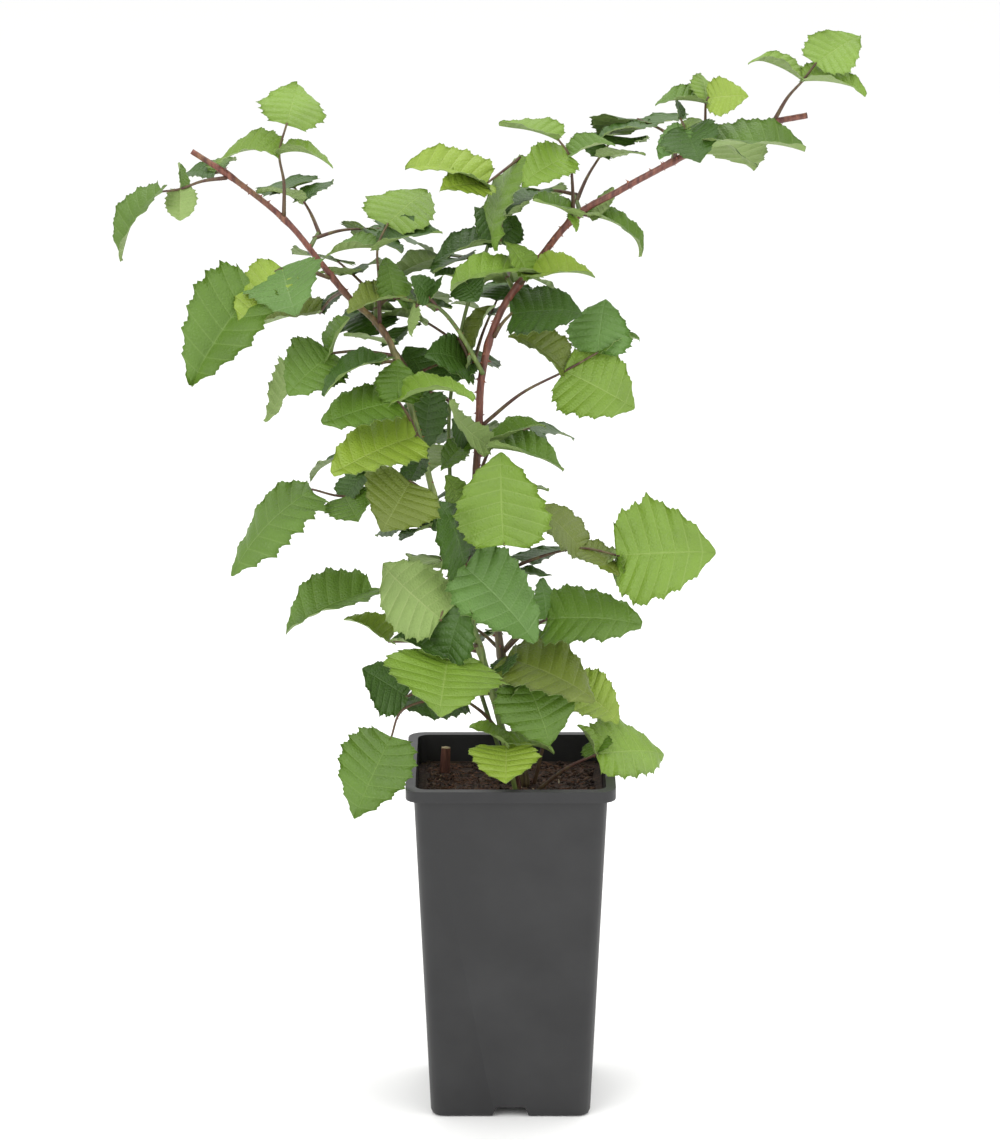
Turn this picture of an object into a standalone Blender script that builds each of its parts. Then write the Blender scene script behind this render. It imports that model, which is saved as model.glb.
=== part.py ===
"""Potted tayberry: two prickly canes, thin shoots and compound leaves above a square nursery pot.

Named sizes are millimetres and degrees; meshes are metres. +Z is up, the front faces -Y,
and the origin is the centre of the pot's flat underside.
"""

import math
import random

import bmesh
import bpy
import numpy as np
from mathutils import Matrix
from mathutils.bvhtree import BVHTree

MM = 0.001
GAP = 0.3            # clearance between neighbouring solids

# Pot: a deep square container with a turned-down lip and four drain bays
POT_HEIGHT = 230.0
POT_RIM = 137.0
POT_TOP = 127.0      # outside of the wall at the top
POT_BOTTOM = 105.5
POT_WALL = 1.4
POT_FLOOR = 11.2     # raised floor over the drain bays
POT_CORNER = 9.0
POT_FOOT_ROUND = 3.0
LIP_HEIGHT = 7.5
LIP_THICK = 1.6
BAY_HEIGHT = 9.3
BAY_TOP = 19.4
BAY_BOTTOM = 24.0
BAY_DEPTH = 35.0
DRAIN_RADIUS = 5.0
OVERCUT = 3.0        # how far a cutter runs past the face it opens

# Compost: fills the pot to a lumpy top
SOIL_TOP = 213.0
SOIL_DIP = 3.0
SOIL_CLEAR = 12.0    # flat round each foot
SOIL_RINGS = 6

# Old cut stub beside the canes
STUB_FOOT = (-44.0, 35.0)
STUB_RADIUS = 3.2
STUB_HEIGHT = 16.0

# Stems: name -> centre line, radius at the foot, radius at the tip
STEMS = {
    "left": ([(4, -8, 213.3), (-14, -10, 288), (-32, -14, 351), (-50, -18, 416), (-59, -18, 453),
              (-75, -14, 509), (-87, -11, 529), (-104, -6, 544), (-123, -2, 567), (-145, 2, 593),
              (-179, 6, 620), (-205, 8, 637)], 2.4, 1.8),
    "right": ([(10, 3, 213.3), (-4, 4, 290), (-10, 6, 328), (-22, 8, 406), (-21, 8, 450),
               (-18, 6, 495), (-6, 2, 534), (19, -4, 570), (42, -8, 598), (70, -10, 615),
               (98, -12, 631), (127, -12, 646), (162, -10, 658), (189, -8, 663)], 2.9, 1.9),
    "middle": ([(-1, 14, 213.3), (-28, 18, 302), (-37, 24, 361), (-40, 26, 422), (-40, 24, 464),
                (-34, 20, 507), (-28, 16, 535), (-20, 10, 559), (-8, 4, 596), (6, -2, 633)],
               1.5, 1.1),
    "side": ([(-18, 2, 492), (-33, -6, 521), (-46, -12, 538), (-60, -16, 543), (-72, -18, 546)],
             1.6, 1.1),
}
OWN_SOLID = {"left": "cane_left", "right": "cane_right"}
SIDE_START = 4.6     # the side shoot's first point, outwards from the right cane's middle

# How a leaflet is held: droop along the midrib, fold of its halves, width over length
HABITS = {
    "open": (20, 3, 1.0),
    "broad": (25, 0, 1.2),
    "oval": (25, 6, 0.84),
    "arched": (32, 25, 0.72),
    "bowed": (70, 22, 0.62),
    "hanging": (50, -10, 0.58),
}

# Colour of each tone of leaf, linear
TONES = {
    "lime": (0.30, 0.42, 0.06),
    "light": (0.22, 0.36, 0.08),
    "mid": (0.13, 0.27, 0.05),
    "dark": (0.06, 0.16, 0.04),
    "olive": (0.17, 0.24, 0.07),
    "sage": (0.16, 0.30, 0.12),
    "under": (0.36, 0.46, 0.25),
}

# Leaves: name, stem, place along it (or x, y on the compost), stalk (heading, rise, length),
# leaflets at the end of the stalk, rachis or None, leaflets at the end of the rachis.
# A leaflet is (heading, rise, length, roll, habit, tone).
LEAVES = [
    ("left_tip", "left", 0.94, (200, -10, 34),
     [(270, -45, 25, -170, "oval", "under"), (100, 40, 21, 55, "arched", "mid")],
     (195, -5, 12), [(195, -60, 51, -10, "bowed", "mid")]),
    ("left_bud", "left", 0.95, (120, -10, 11),
     [(155, -5, 25, -20, "oval", "dark"), (65, 10, 25, -5, "arched", "mid")], None, []),
    ("left_1", "left", 0.85, (225, 85, 44),
     [(160, -15, 45, -20, "bowed", "light"), (350, -15, 36, 0, "bowed", "light")],
     (10, 75, 19), [(80, 30, 40, 15, "open", "light")]),
    ("left_2", "left", 0.75, (205, 15, 37),
     [(225, -40, 49, -10, "oval", "lime"), (295, -40, 50, 25, "open", "sage")],
     (195, -30, 20), [(190, -55, 78, -40, "arched", "mid")]),
    ("left_3", "left", 0.66, (265, 80, 56),
     [(175, -10, 35, 0, "arched", "mid"), (350, 15, 44, 15, "arched", "dark")],
     (40, 60, 16), [(45, 25, 41, 15, "broad", "light")]),
    ("left_4", "left", 0.62, (195, 5, 42),
     [(220, -30, 42, -35, "open", "mid"), (305, 50, 35, 65, "arched", "mid")],
     (160, -15, 33), [(175, -70, 42, 145, "hanging", "under")]),
    ("left_5", "left", 0.61, (240, 10, 19),
     [(190, -25, 47, 0, "bowed", "dark"), (120, 5, 28, -15, "oval", "dark")], None, []),
    ("left_back", "left", 0.73, (115, -30, 44),
     [(175, -15, 43, -15, "arched", "olive"), (35, 35, 22, -5, "oval", "dark")], None, []),
    ("left_6", "left", 0.50, (240, 50, 42),
     [(190, -15, 51, -25, "oval", "mid"), (345, 5, 51, 10, "bowed", "light"),
      (95, 45, 37, 15, "open", "mid")], None, []),
    ("left_7", "left", 0.49, (260, 35, 23),
     [(200, -20, 61, -25, "oval", "lime"), (170, -45, 27, -30, "hanging", "dark")], None, []),
    ("left_8", "left", 0.43, (190, 0, 58),
     [(35, 35, 29, 5, "oval", "dark"), (290, -20, 30, 25, "open", "mid")],
     (190, 15, 21), [(195, -45, 77, -25, "hanging", "mid")]),
    ("left_9", "left", 0.41, (230, 40, 34),
     [(235, -40, 41, -40, "broad", "olive"), (55, 40, 25, -10, "oval", "dark")], None, []),
    ("left_10", "left", 0.33, (255, -45, 43), [(195, 45, 57, 105, "oval", "olive")], None, []),
    ("left_11", "left", 0.27, (190, 10, 63), [(200, -20, 64, -15, "arched", "mid")], None, []),
    ("left_12", "left", 0.21, (240, 0, 40),
     [(265, -20, 60, -10, "broad", "light"), (165, 15, 41, -10, "arched", "dark"),
      (25, 70, 42, 30, "oval", "dark")], None, []),
    ("left_13", "left", 0.20, (175, 5, 60), [(190, 30, 35, -20, "arched", "lime")], None, []),
    ("left_14", "left", 0.17, (190, -15, 55), [(195, 35, 37, -70, "open", "dark")], None, []),
    ("left_15", "left", 0.14, (200, -5, 62), [],
     (200, -65, 20), [(215, -60, 58, -35, "oval", "mid")]),
    ("left_16", "left", 0.08, (195, 45, 34), [(200, 0, 48, -15, "open", "dark")], None, []),
    ("middle_top", "middle", 1.00, (280, 30, 7), [(210, -70, 64, 5, "hanging", "under")],
     (195, -35, 29), [(185, 15, 54, -20, "arched", "lime"), (220, 0, 36, -25, "oval", "lime")]),
    ("middle_1", "middle", 0.93, (115, -80, 28),
     [(185, -15, 45, -10, "arched", "dark"), (155, 50, 29, -30, "oval", "dark"),
      (40, 50, 25, 25, "open", "dark")], None, []),
    ("middle_2", "middle", 0.84, (175, -50, 22),
     [(210, 20, 22, -20, "arched", "dark"), (305, -30, 20, 40, "broad", "dark")], None, []),
    ("middle_3", "middle", 0.70, (320, -60, 17),
     [(35, 65, 42, 0, "arched", "olive"), (175, 25, 37, -45, "open", "dark"),
      (220, -30, 21, -15, "open", "dark")], None, []),
    ("middle_4", "middle", 0.60, (240, 25, 27),
     [(155, 50, 42, -15, "oval", "dark"), (235, -80, 39, -5, "oval", "dark")], None, []),
    ("middle_5", "middle", 0.53, (305, 20, 25),
     [(210, 50, 21, -70, "open", "dark"), (210, -40, 28, -10, "oval", "mid")], None, []),
    ("middle_6", "middle", 0.44, (285, 0, 27),
     [(205, 70, 29, -65, "open", "light"), (200, -25, 22, -35, "open", "dark")], None, []),
    ("side_tip", "side", 1.00, (220, 15, 4),
     [(185, -10, 40, -10, "arched", "olive"), (95, 20, 27, 10, "open", "mid"),
      (75, 0, 31, 45, "oval", "mid")], None, []),
    ("side_1", "side", 0.67, (180, 55, 8),
     [(205, 50, 20, -65, "open", "dark"), (35, 50, 17, -10, "oval", "dark")], None, []),
    ("side_2", "side", 0.82, (245, -10, 5), [(255, -60, 21, 105, "hanging", "under")], None, []),
    ("right_tip", "right", 0.96, (345, 55, 34),
     [(165, 20, 38, 0, "arched", "light"), (355, -10, 42, 10, "arched", "light")],
     (20, 50, 13), [(30, 25, 37, 30, "open", "light")]),
    ("right_1", "right", 0.88, (270, 75, 30),
     [(185, 0, 33, -10, "arched", "mid"), (95, 30, 28, 30, "oval", "light")],
     (355, 65, 3), [(355, 5, 26, 50, "open", "lime")]),
    ("right_2", "right", 0.86, (320, 20, 17), [(355, 0, 62, 10, "arched", "mid")], None, []),
    ("right_3", "right", 0.84, (310, 65, 25),
     [(305, -45, 36, 20, "open", "dark"), (210, -45, 26, -20, "oval", "sage"),
      (45, 15, 17, 5, "oval", "light")], (140, 60, 7), [(125, 70, 14, 30, "oval", "dark")]),
    ("right_4", "right", 0.71, (245, 80, 43),
     [(5, 15, 31, 15, "arched", "mid"), (205, -25, 38, -35, "oval", "light")],
     (175, 55, 12), [(170, 10, 39, -5, "arched", "light")]),
    ("right_5", "right", 0.72, (50, -20, 8),
     [(0, -35, 45, 10, "bowed", "mid"), (25, 45, 25, -175, "oval", "under"),
      (60, -5, 25, 70, "open", "sage")], None, []),
    ("right_6", "right", 0.71, (260, 30, 7),
     [(190, 25, 36, -20, "arched", "mid"), (280, -35, 15, -30, "hanging", "light")], None, []),
    ("right_7", "right", 0.61, (295, 25, 18),
     [(200, -5, 55, -10, "bowed", "light"), (165, 55, 29, -20, "oval", "light"),
      (355, 5, 44, 15, "arched", "lime")], None, []),
    ("right_8", "right", 0.53, (320, 50, 29), [(355, 5, 47, 30, "open", "dark")], None, []),
    ("right_9", "right", 0.43, (350, 35, 69),
     [(175, 35, 44, -25, "arched", "olive"), (345, -25, 52, 55, "open", "light")],
     (0, 30, 25), [(60, 75, 35, 10, "broad", "sage"), (355, 15, 46, 5, "arched", "mid")]),
    ("right_10", "right", 0.36, (290, 50, 42),
     [(195, 50, 44, 145, "hanging", "under"), (0, 25, 39, 5, "arched", "mid"),
      (350, -15, 50, 5, "arched", "mid")], None, []),
    ("right_11", "right", 0.31, (290, 0, 44), [(100, 80, 60, -25, "open", "light")], None, []),
    ("right_12", "right", 0.30, (250, -20, 35),
     [(165, 70, 48, -45, "broad", "dark"), (345, -45, 68, 35, "oval", "sage")], None, []),
    ("right_13", "right", 0.25, (355, 20, 64),
     [(180, 45, 40, -25, "open", "olive"), (335, -30, 31, 15, "oval", "olive")],
     (355, -10, 25), [(350, 5, 65, 65, "open", "light"), (300, -70, 27, 155, "hanging", "under"),
                      (175, -5, 36, 165, "hanging", "under")]),
    ("right_14", "right", 0.16, (335, 40, 42),
     [(350, 0, 64, 30, "oval", "mid"), (105, 60, 28, 35, "open", "sage"),
      (20, 15, 54, 0, "oval", "dark")], None, []),
    ("right_15", "right", 0.11, (265, 60, 35),
     [(355, -20, 67, 20, "oval", "olive"), (260, -20, 22, 20, "oval", "dark")], None, []),
    ("right_16", "right", 0.10, (290, 40, 37),
     [(315, -60, 47, 20, "broad", "mid"), (230, -50, 29, 5, "oval", "mid")], None, []),
    ("low_1", "compost", (6, -14), (245, 60, 43),
     [(270, -30, 35, 0, "broad", "lime"), (190, 30, 28, -15, "arched", "light"),
      (5, -10, 33, 5, "arched", "light")], None, []),
    ("low_2", "compost", (20, -8), (340, 35, 47),
     [(350, -10, 57, 40, "oval", "light"), (160, 55, 23, 5, "arched", "light"),
      (70, 30, 22, -25, "open", "mid")], None, []),
    ("low_3", "compost", (16, 6), (350, 70, 73),
     [(340, -35, 41, 35, "oval", "lime"), (295, -55, 27, -20, "oval", "dark")], None, []),
]

# Sprays behind the canes: name, stem, places along it, counted from the foot
SPRAYS = [("left", (0.12, 0.25, 0.36, 0.47, 0.57, 0.67, 0.80)),
          ("right", (0.14, 0.27, 0.39, 0.50, 0.60, 0.72, 0.84))]
SPRAY_SEED = 11
SPUR_LENGTH = 16.0
SPUR_RADII = (1.4, 1.1)
SPRAY_STALK = (22, 40)
SPRAY_RACHIS = 14
SPRAY_LEAFLET = (36, 50)

# Stalks and blades
STALK_RADII = (1.15, 0.9, 0.7)   # foot, hub, end of the rachis
STALK_ARCH = 0.05                # rise of a stalk's middle over its length
STALK_STEPS = 2
STALK_PAST = 1.2                 # a stalk runs on under the leaflets it carries
BLADE_STATIONS = (0.0, 0.14, 0.38, 0.7, 1.0)
BLADE_INNER = 8                  # points of the two sections next to the root
BLADE_THICK = 0.014              # midrib thickness over length
BLADE_THICK_LEAST = 0.8
BLADE_ROOT = 0.8                 # half width where the leaflet leaves its stalk
LEANS = (0, 0.1, -0.1, 0.2, -0.2, 0.3, -0.3, 0.45, -0.45, 0.6, -0.6, 0.8, -0.8)
SIZES = (1.0, 0.85, 0.7)
CLEAR = 0.15                     # extra half thickness while a leaflet looks for its place
STEM_STEP = 24.0                 # distance between the sections of a cane


def aim(heading, rise):
    """Unit vector at a heading (from +X towards +Y) and a rise over the horizontal."""
    h, r = math.radians(heading), math.radians(rise)
    return np.array([math.cos(r) * math.cos(h), math.cos(r) * math.sin(h), math.sin(r)])


def leaned(heading, rise, lean):
    """Heading and rise after leaning towards the front (-Y) by a share of the length."""
    x, y, z = aim(heading, rise) - np.array([0, lean, 0])
    return math.degrees(math.atan2(y, x)), math.degrees(math.atan2(z, math.hypot(x, y)))


def axes(heading, rise, roll):
    """Forward, left and normal of a leaflet turned by roll about its midrib."""
    forward = aim(heading, rise)
    flat = aim(heading, rise + 90)
    turn = math.radians(roll)
    normal = flat * math.cos(turn) + np.cross(forward, flat) * math.sin(turn)
    return forward, np.cross(normal, forward), normal


def spline(points, step):
    """Catmull-Rom curve through the points, with a section about every step."""
    p = np.asarray(points, float)
    p = np.vstack([2 * p[0] - p[1], p, 2 * p[-1] - p[-2]])
    runs = []
    for a, b, c, d in zip(p, p[1:], p[2:], p[3:]):
        count = max(1, round(np.linalg.norm(c - b) / step))
        t = np.linspace(0, 1, count, endpoint=False)[:, None]
        runs.append(0.5 * (2 * b + (c - a) * t + (2 * a - 5 * b + 4 * c - d) * t**2
                           + (3 * b - a - 3 * c + d) * t**3))
    return np.vstack(runs + [p[-2:-1]])


def place_on(stem, share):
    """Point, direction and radius at a share of a stem's length."""
    curve, foot, tip = stem
    steps = np.linalg.norm(np.diff(curve, axis=0), axis=1)
    at = np.concatenate([[0], np.cumsum(steps)]) / steps.sum()
    point = np.array([np.interp(share, at, curve[:, k]) for k in range(3)])
    k = min(int(np.searchsorted(at, share, side="right")), len(curve) - 1)
    tangent = curve[k] - curve[k - 1]
    return point, tangent / np.linalg.norm(tangent), foot + (tip - foot) * share


def arched(start, heading, rise, length):
    """Points of a slightly arched run from start."""
    t = np.linspace(0, 1, STALK_STEPS + 1)[:, None]
    lift = 4 * t * (1 - t) * STALK_ARCH * length
    return start + t * length * aim(heading, rise) + lift * aim(heading, rise + 90)


def tube(points, radii, sides=3):
    """Closed tube through the points: vertices and faces."""
    points = np.asarray(points, float)
    radii = np.interp(np.linspace(0, 1, len(points)), np.linspace(0, 1, len(radii)), radii)
    tangents = np.gradient(points, axis=0)
    across = np.cross(tangents[0], (0.31, 0.86, 0.4))
    turns = np.arange(sides) * 2 * math.pi / sides
    rings = []
    for point, tangent, radius in zip(points, tangents, radii):
        tangent = tangent / np.linalg.norm(tangent)
        across = across - tangent * (across @ tangent)
        across = across / np.linalg.norm(across)
        other = np.cross(tangent, across)
        rings.append(point + radius * (np.cos(turns)[:, None] * across
                                       + np.sin(turns)[:, None] * other))
    faces = [tuple(range(sides))[::-1]]
    for k in range(len(points) - 1):
        for j in range(sides):
            a, b = k * sides + j, k * sides + (j + 1) % sides
            faces.append((a, b, b + sides, a + sides))
    faces.append(tuple(range((len(points) - 1) * sides, len(points) * sides)))
    return np.vstack(rings), faces


def blade(base, heading, rise, length, roll, habit, extra=0.0):
    """Leaflet as a lens: a raised midrib above and below a thin edge, pointed at the tip."""
    droop, fold, wide = HABITS[habit]
    q = np.array(BLADE_STATIONS)
    s = q**1.35
    along_edge = 1.10 * s - 0.10 + 0.10 * np.clip(1 - q / 0.15, 0, 1)
    half = 1.30 * wide * s**0.52 * (1 - s)**0.94
    half[0] = BLADE_ROOT / length
    along_rib = q**1.1
    thick = max(BLADE_THICK_LEAST, BLADE_THICK * length) * (1 - 0.45 * q) / 2 + extra
    bend = math.radians(droop) / 2
    forward, left, normal = axes(heading, rise, roll)

    def place(u, w, up):
        """Point at u along the arc, w across the fold and up along the leaf's normal."""
        turn = bend - 2 * bend * u
        lift = np.abs(w) * math.sin(math.radians(fold)) + up / length
        x = (math.sin(bend) - np.sin(turn)) / (2 * math.sin(bend)) - np.sin(turn) * lift
        z = (np.cos(turn) - math.cos(bend)) / (2 * math.sin(bend)) + np.cos(turn) * lift
        y = w * math.cos(math.radians(fold))
        parts = x[:, None] * forward + y[:, None] * left + z[:, None] * normal
        return base + length * parts

    ribs = np.zeros(len(q))
    rows = [place(along_rib, ribs, thick), place(along_edge, half, ribs),
            place(along_rib, ribs, -thick), place(along_edge, -half, ribs)]
    last = len(q) - 1
    points = np.concatenate([np.stack(rows, 1)[:last].reshape(-1, 3), rows[1][last:]])
    faces = [(0, 1, 2), (0, 2, 3)]
    for k in range(last - 1):
        a = 4 * k
        for rib, edge in ((0, 1), (2, 1), (2, 3), (0, 3)):
            m, n, e, f = a + rib, a + rib + 4, a + edge, a + edge + 4
            pair = [(m, f, e), (m, n, f)]
            flip = (rib, edge) in ((2, 1), (0, 3))
            faces += [p[::-1] if flip else p for p in pair]
    tip, a = 4 * last, 4 * (last - 1)
    faces += [(a, tip, a + 1), (a + 1, tip, a + 2), (a + 2, tip, a + 3), (a + 3, tip, a)]
    return points, faces


def outer_part(shape):
    """A leaflet without the stretch at its root that is sunk into its stalk."""
    points, faces = shape
    return points, [face for face in faces if min(face) >= BLADE_INNER]


class Room:
    """Space taken by the solids placed so far, to keep each mass clear of the others."""

    def __init__(self):
        self.taken = []

    def add(self, node, whole, outer=None):
        """Takes the room of a shape; within its own node only the outer part counts."""
        trees = BVHTree.FromPolygons(*whole), BVHTree.FromPolygons(*(outer or whole))
        self.taken.append((node, whole[0].min(0), whole[0].max(0), trees))

    def is_clear(self, node, whole, outer=None):
        """Whether a shape crosses no other node, and its outer part nothing of its own node."""
        low, high = whole[0].min(0), whole[0].max(0)
        whole_tree = BVHTree.FromPolygons(*whole)
        outer_tree = BVHTree.FromPolygons(*outer) if outer else None
        for other, other_low, other_high, (other_whole, other_outer) in self.taken:
            if (low > other_high).any() or (high < other_low).any():
                continue
            if other != node and whole_tree.overlap(other_whole):
                return False
            if other == node and outer and outer_tree.overlap(other_outer):
                return False
        return True


def box(low, high):
    """Closed box between two corners: vertices and faces."""
    corners = np.array([[x, y, z] for x in (low[0], high[0]) for y in (low[1], high[1])
                        for z in (low[2], high[2])], float)
    faces = [(0, 1, 3, 2), (4, 6, 7, 5), (0, 4, 5, 1), (2, 3, 7, 6), (0, 2, 6, 4), (1, 5, 7, 3)]
    return corners, faces


def pot_boxes():
    """The pot's four walls and the compost as plain boxes, for the leaves to keep clear of."""
    out = POT_RIM / 2 + CLEAR
    inner = POT_TOP / 2 - 3 * POT_WALL
    boxes = [box((-inner, -inner, 0), (inner, inner, SOIL_TOP + CLEAR))]
    for low, high in ((inner, out), (-out, -inner)):
        boxes.append(box((low, -out, 0), (high, out, POT_HEIGHT + CLEAR)))
        boxes.append(box((-out, low, 0), (out, high, POT_HEIGHT + CLEAR)))
    return boxes


def spray_rows():
    """Spurs and leaves behind the canes, in the same form as the table of leaves."""
    spurs, rows = {}, []
    number = 0
    for stem, shares in SPRAYS:
        for share in shares:
            number += 1
            name = f"spray_{number}"
            dice = random.Random(SPRAY_SEED + number)
            heading = 90 + dice.uniform(-30, 30)
            spurs[name] = (stem, share, heading, dice.uniform(5, 35))
            for k, turn in enumerate((-38, 40)):
                toward = heading + turn + dice.uniform(-10, 10)
                rise = dice.uniform(-5, 40)
                size = dice.uniform(*SPRAY_LEAFLET)
                leaflets = [(toward + side * dice.uniform(62, 80), rise - 25 + dice.uniform(-10, 10),
                             size * 0.8, side * dice.uniform(0, 25), "oval", "dark")
                            for side in (-1, 1)]
                last = (toward, rise - dice.uniform(25, 50), size, dice.uniform(-20, 20), "open",
                        "dark")
                rows.append((f"{name}_{k}", name, 0.6 + 0.4 * k,
                             (toward, rise, dice.uniform(*SPRAY_STALK)), leaflets,
                             (toward, rise - 10, SPRAY_RACHIS), [last]))
    return spurs, rows


def clear_foot(point, tangent, radius, heading, rise):
    """Where a stalk starts so that its end stays one gap off a stem's skin."""
    way = aim(heading, rise)
    cosine = abs(way @ tangent)
    sine = max(math.sqrt(1 - cosine * cosine), 0.35)
    return point + way * (radius + GAP + STALK_RADII[0] * cosine + CLEAR) / sine


def grow():
    """Stems, stalks and leaflets, each with the node it belongs to, all clear of the rest."""
    stems = {name: (spline(points, STEM_STEP), foot, tip)
             for name, (points, foot, tip) in STEMS.items()}
    curve, foot, tip = stems["side"]
    away = curve[1] - curve[0]
    curve[0] += SIDE_START * away / np.linalg.norm(away)
    room = Room()
    for shape in pot_boxes():
        room.add("pot", shape)
    solids = {}
    for name, (curve, foot, tip) in stems.items():
        node = OWN_SOLID.get(name, "shoot_" + name)
        sides = 8 if name in OWN_SOLID else 5
        solids[node] = [tube(curve, (foot, tip), sides)]
        room.add(node, solids[node][0])
    spurs, extra_rows = spray_rows()
    for name, (parent, share, heading, rise) in spurs.items():
        point, tangent, radius = place_on(stems[parent], share)
        start = clear_foot(point, tangent, radius, heading, rise)
        curve = np.array([start, start + SPUR_LENGTH * aim(heading, rise)])
        stems[name] = (curve, *SPUR_RADII)
        solids[name] = [tube(curve, SPUR_RADII, 5)]
        room.add(name, solids[name][0])
    held = []
    for row in LEAVES + extra_rows:
        held += grow_stalk(row, stems, room, solids)
    for node, base, leaflet in held:
        grow_leaflet(node, base, leaflet, room, solids)
    return solids


def grow_stalk(row, stems, room, solids):
    """Adds a leaf's stalk and rachis, and gives its leaflets with the points they grow from."""
    name, parent, share, (heading, rise, length), hub_leaflets, rachis, end_leaflets = row
    node = name if parent in OWN_SOLID or parent == "compost" else (
        parent if parent.startswith("spray") else "shoot_" + parent)
    for lean in LEANS:
        way = leaned(heading, rise, lean)
        if parent == "compost":
            start = np.array([*share, SOIL_TOP + GAP + STALK_RADII[0]])
            hub = start + length * aim(*way)
        else:
            point, tangent, radius = place_on(stems[parent], share)
            hub = point + length * aim(*way)
            start = clear_foot(point, tangent, radius, *way) if parent in OWN_SOLID else point
        run = arched(start, *way, np.linalg.norm(hub - start))
        ends = STALK_RADII[:2]
        end = hub
        if rachis:
            end = hub + rachis[2] * aim(*rachis[:2])
            run = np.vstack([run, end])
            ends = STALK_RADII
        last = run[-1] - run[-2]
        run = np.vstack([run[:-1], run[-1] + STALK_PAST * last / np.linalg.norm(last)])
        shape = tube(run, ends)
        if parent == "compost":
            shape[0][:3, 2] = SOIL_TOP + GAP
        if room.is_clear(node, shape):
            room.add(node, shape)
            solids.setdefault(node, []).append(shape)
            return [(node, hub, leaflet) for leaflet in hub_leaflets] + \
                   [(node, end, leaflet) for leaflet in end_leaflets]
    return []


def grow_leaflet(node, base, leaflet, room, solids):
    """Adds a leaflet, leaning it to the front or back until it is clear, or skips it."""
    heading, rise, length, roll, habit, _ = leaflet
    for size in SIZES:
        for lean in LEANS:
            place = (base, *leaned(heading, rise, lean), size * length, roll, habit)
            wide = blade(*place, CLEAR)
            if room.is_clear(node, wide, outer_part(wide)):
                room.add(node, wide, outer_part(wide))
                solids[node].append(blade(*place))
                return


def material(name, color, roughness):
    """Principled material of one colour."""
    made = bpy.data.materials.new(name)
    made.use_nodes = True
    shader = made.node_tree.nodes["Principled BSDF"]
    shader.inputs["Base Color"].default_value = (*color, 1)
    shader.inputs["Roughness"].default_value = roughness
    made.diffuse_color = (*color, 1)
    return made


def add_object(name, mesh, collection, made=None):
    """Object that shows a mesh, in a collection."""
    added = bpy.data.objects.new(name, mesh)
    collection.objects.link(added)
    if made:
        mesh.materials.append(made)
    return added


def shape_mesh(name, shape):
    """Blender mesh of a shape given in millimetres."""
    points, faces = shape
    mesh = bpy.data.meshes.new(name)
    mesh.from_pydata((np.asarray(points) * MM).tolist(), [], [tuple(f) for f in faces])
    mesh.update()
    return mesh


def largest_shell(mesh):
    """Keeps a mesh's largest shell, so sealed hollows are filled and loose scraps dropped."""
    work = bmesh.new()
    work.from_mesh(mesh)
    left = set(work.faces)
    shells = []
    while left:
        shell, queue = set(), [left.pop()]
        while queue:
            face = queue.pop()
            shell.add(face)
            for edge in face.edges:
                for near in edge.link_faces:
                    if near in left:
                        left.remove(near)
                        queue.append(near)
        shells.append(shell)
    shells.sort(key=len)
    spare = [face for shell in shells[:-1] for face in shell]
    bmesh.ops.delete(work, geom=spare, context="FACES")
    bmesh.ops.triangulate(work, faces=work.faces)
    work.to_mesh(mesh)
    work.free()


def fuse(name, shapes, made, parts, helpers):
    """One closed solid from a stem, its stalks and its leaflets, by a union on a collection."""
    whole = add_object(name, shape_mesh(name, shapes[0]), parts, made)
    if len(shapes) > 1:
        group = bpy.data.collections.new(name + "_pieces")
        helpers.children.link(group)
        for k, shape in enumerate(shapes[1:]):
            add_object(f"{name}_piece_{k}", shape_mesh(f"{name}_piece_{k}", shape), group)
        union = whole.modifiers.new("union", "BOOLEAN")
        union.operation = "UNION"
        union.operand_type = "COLLECTION"
        union.collection = group
        union.solver = "MANIFOLD"
        bpy.context.view_layer.update()
        seen = whole.evaluated_get(bpy.context.evaluated_depsgraph_get())
        whole.modifiers.clear()
        whole.data = bpy.data.meshes.new_from_object(seen)
        for piece in list(group.objects):
            bpy.data.objects.remove(piece)
        bpy.data.collections.remove(group)
    largest_shell(whole.data)
    return whole


def block(name, bottom, top, low, high, corner, foot_round, collection):
    """Upright block with square ends of two sizes and rounded vertical edges."""
    work = bmesh.new()
    bmesh.ops.create_cube(work, size=1)
    for v in work.verts:
        width = top if v.co.z > 0 else bottom
        v.co = (v.co.x * width * MM, v.co.y * width * MM, (high if v.co.z > 0 else low) * MM)
    upright = [e for e in work.edges if abs(e.verts[0].co.z - e.verts[1].co.z) > MM]
    bmesh.ops.bevel(work, geom=upright, offset=corner * MM, segments=4, profile=0.5,
                    affect="EDGES")
    if foot_round:
        under = [e for e in work.edges if max(v.co.z for v in e.verts) < (low + 0.1) * MM]
        bmesh.ops.bevel(work, geom=under, offset=foot_round * MM, segments=2, profile=0.5,
                        affect="EDGES")
    mesh = bpy.data.meshes.new(name)
    work.to_mesh(mesh)
    work.free()
    return add_object(name, mesh, collection)


def cut(target, tool, operation="DIFFERENCE"):
    """Boolean of a target with a hidden tool."""
    step = target.modifiers.new(tool.name, "BOOLEAN")
    step.operation = operation
    step.object = tool
    step.solver = "EXACT"
    tool.hide_render = True
    tool.display_type = "WIRE"


def pot_width(z):
    """Outside width of the pot's wall at a height."""
    return POT_BOTTOM + (POT_TOP - POT_BOTTOM) * z / POT_HEIGHT


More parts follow.
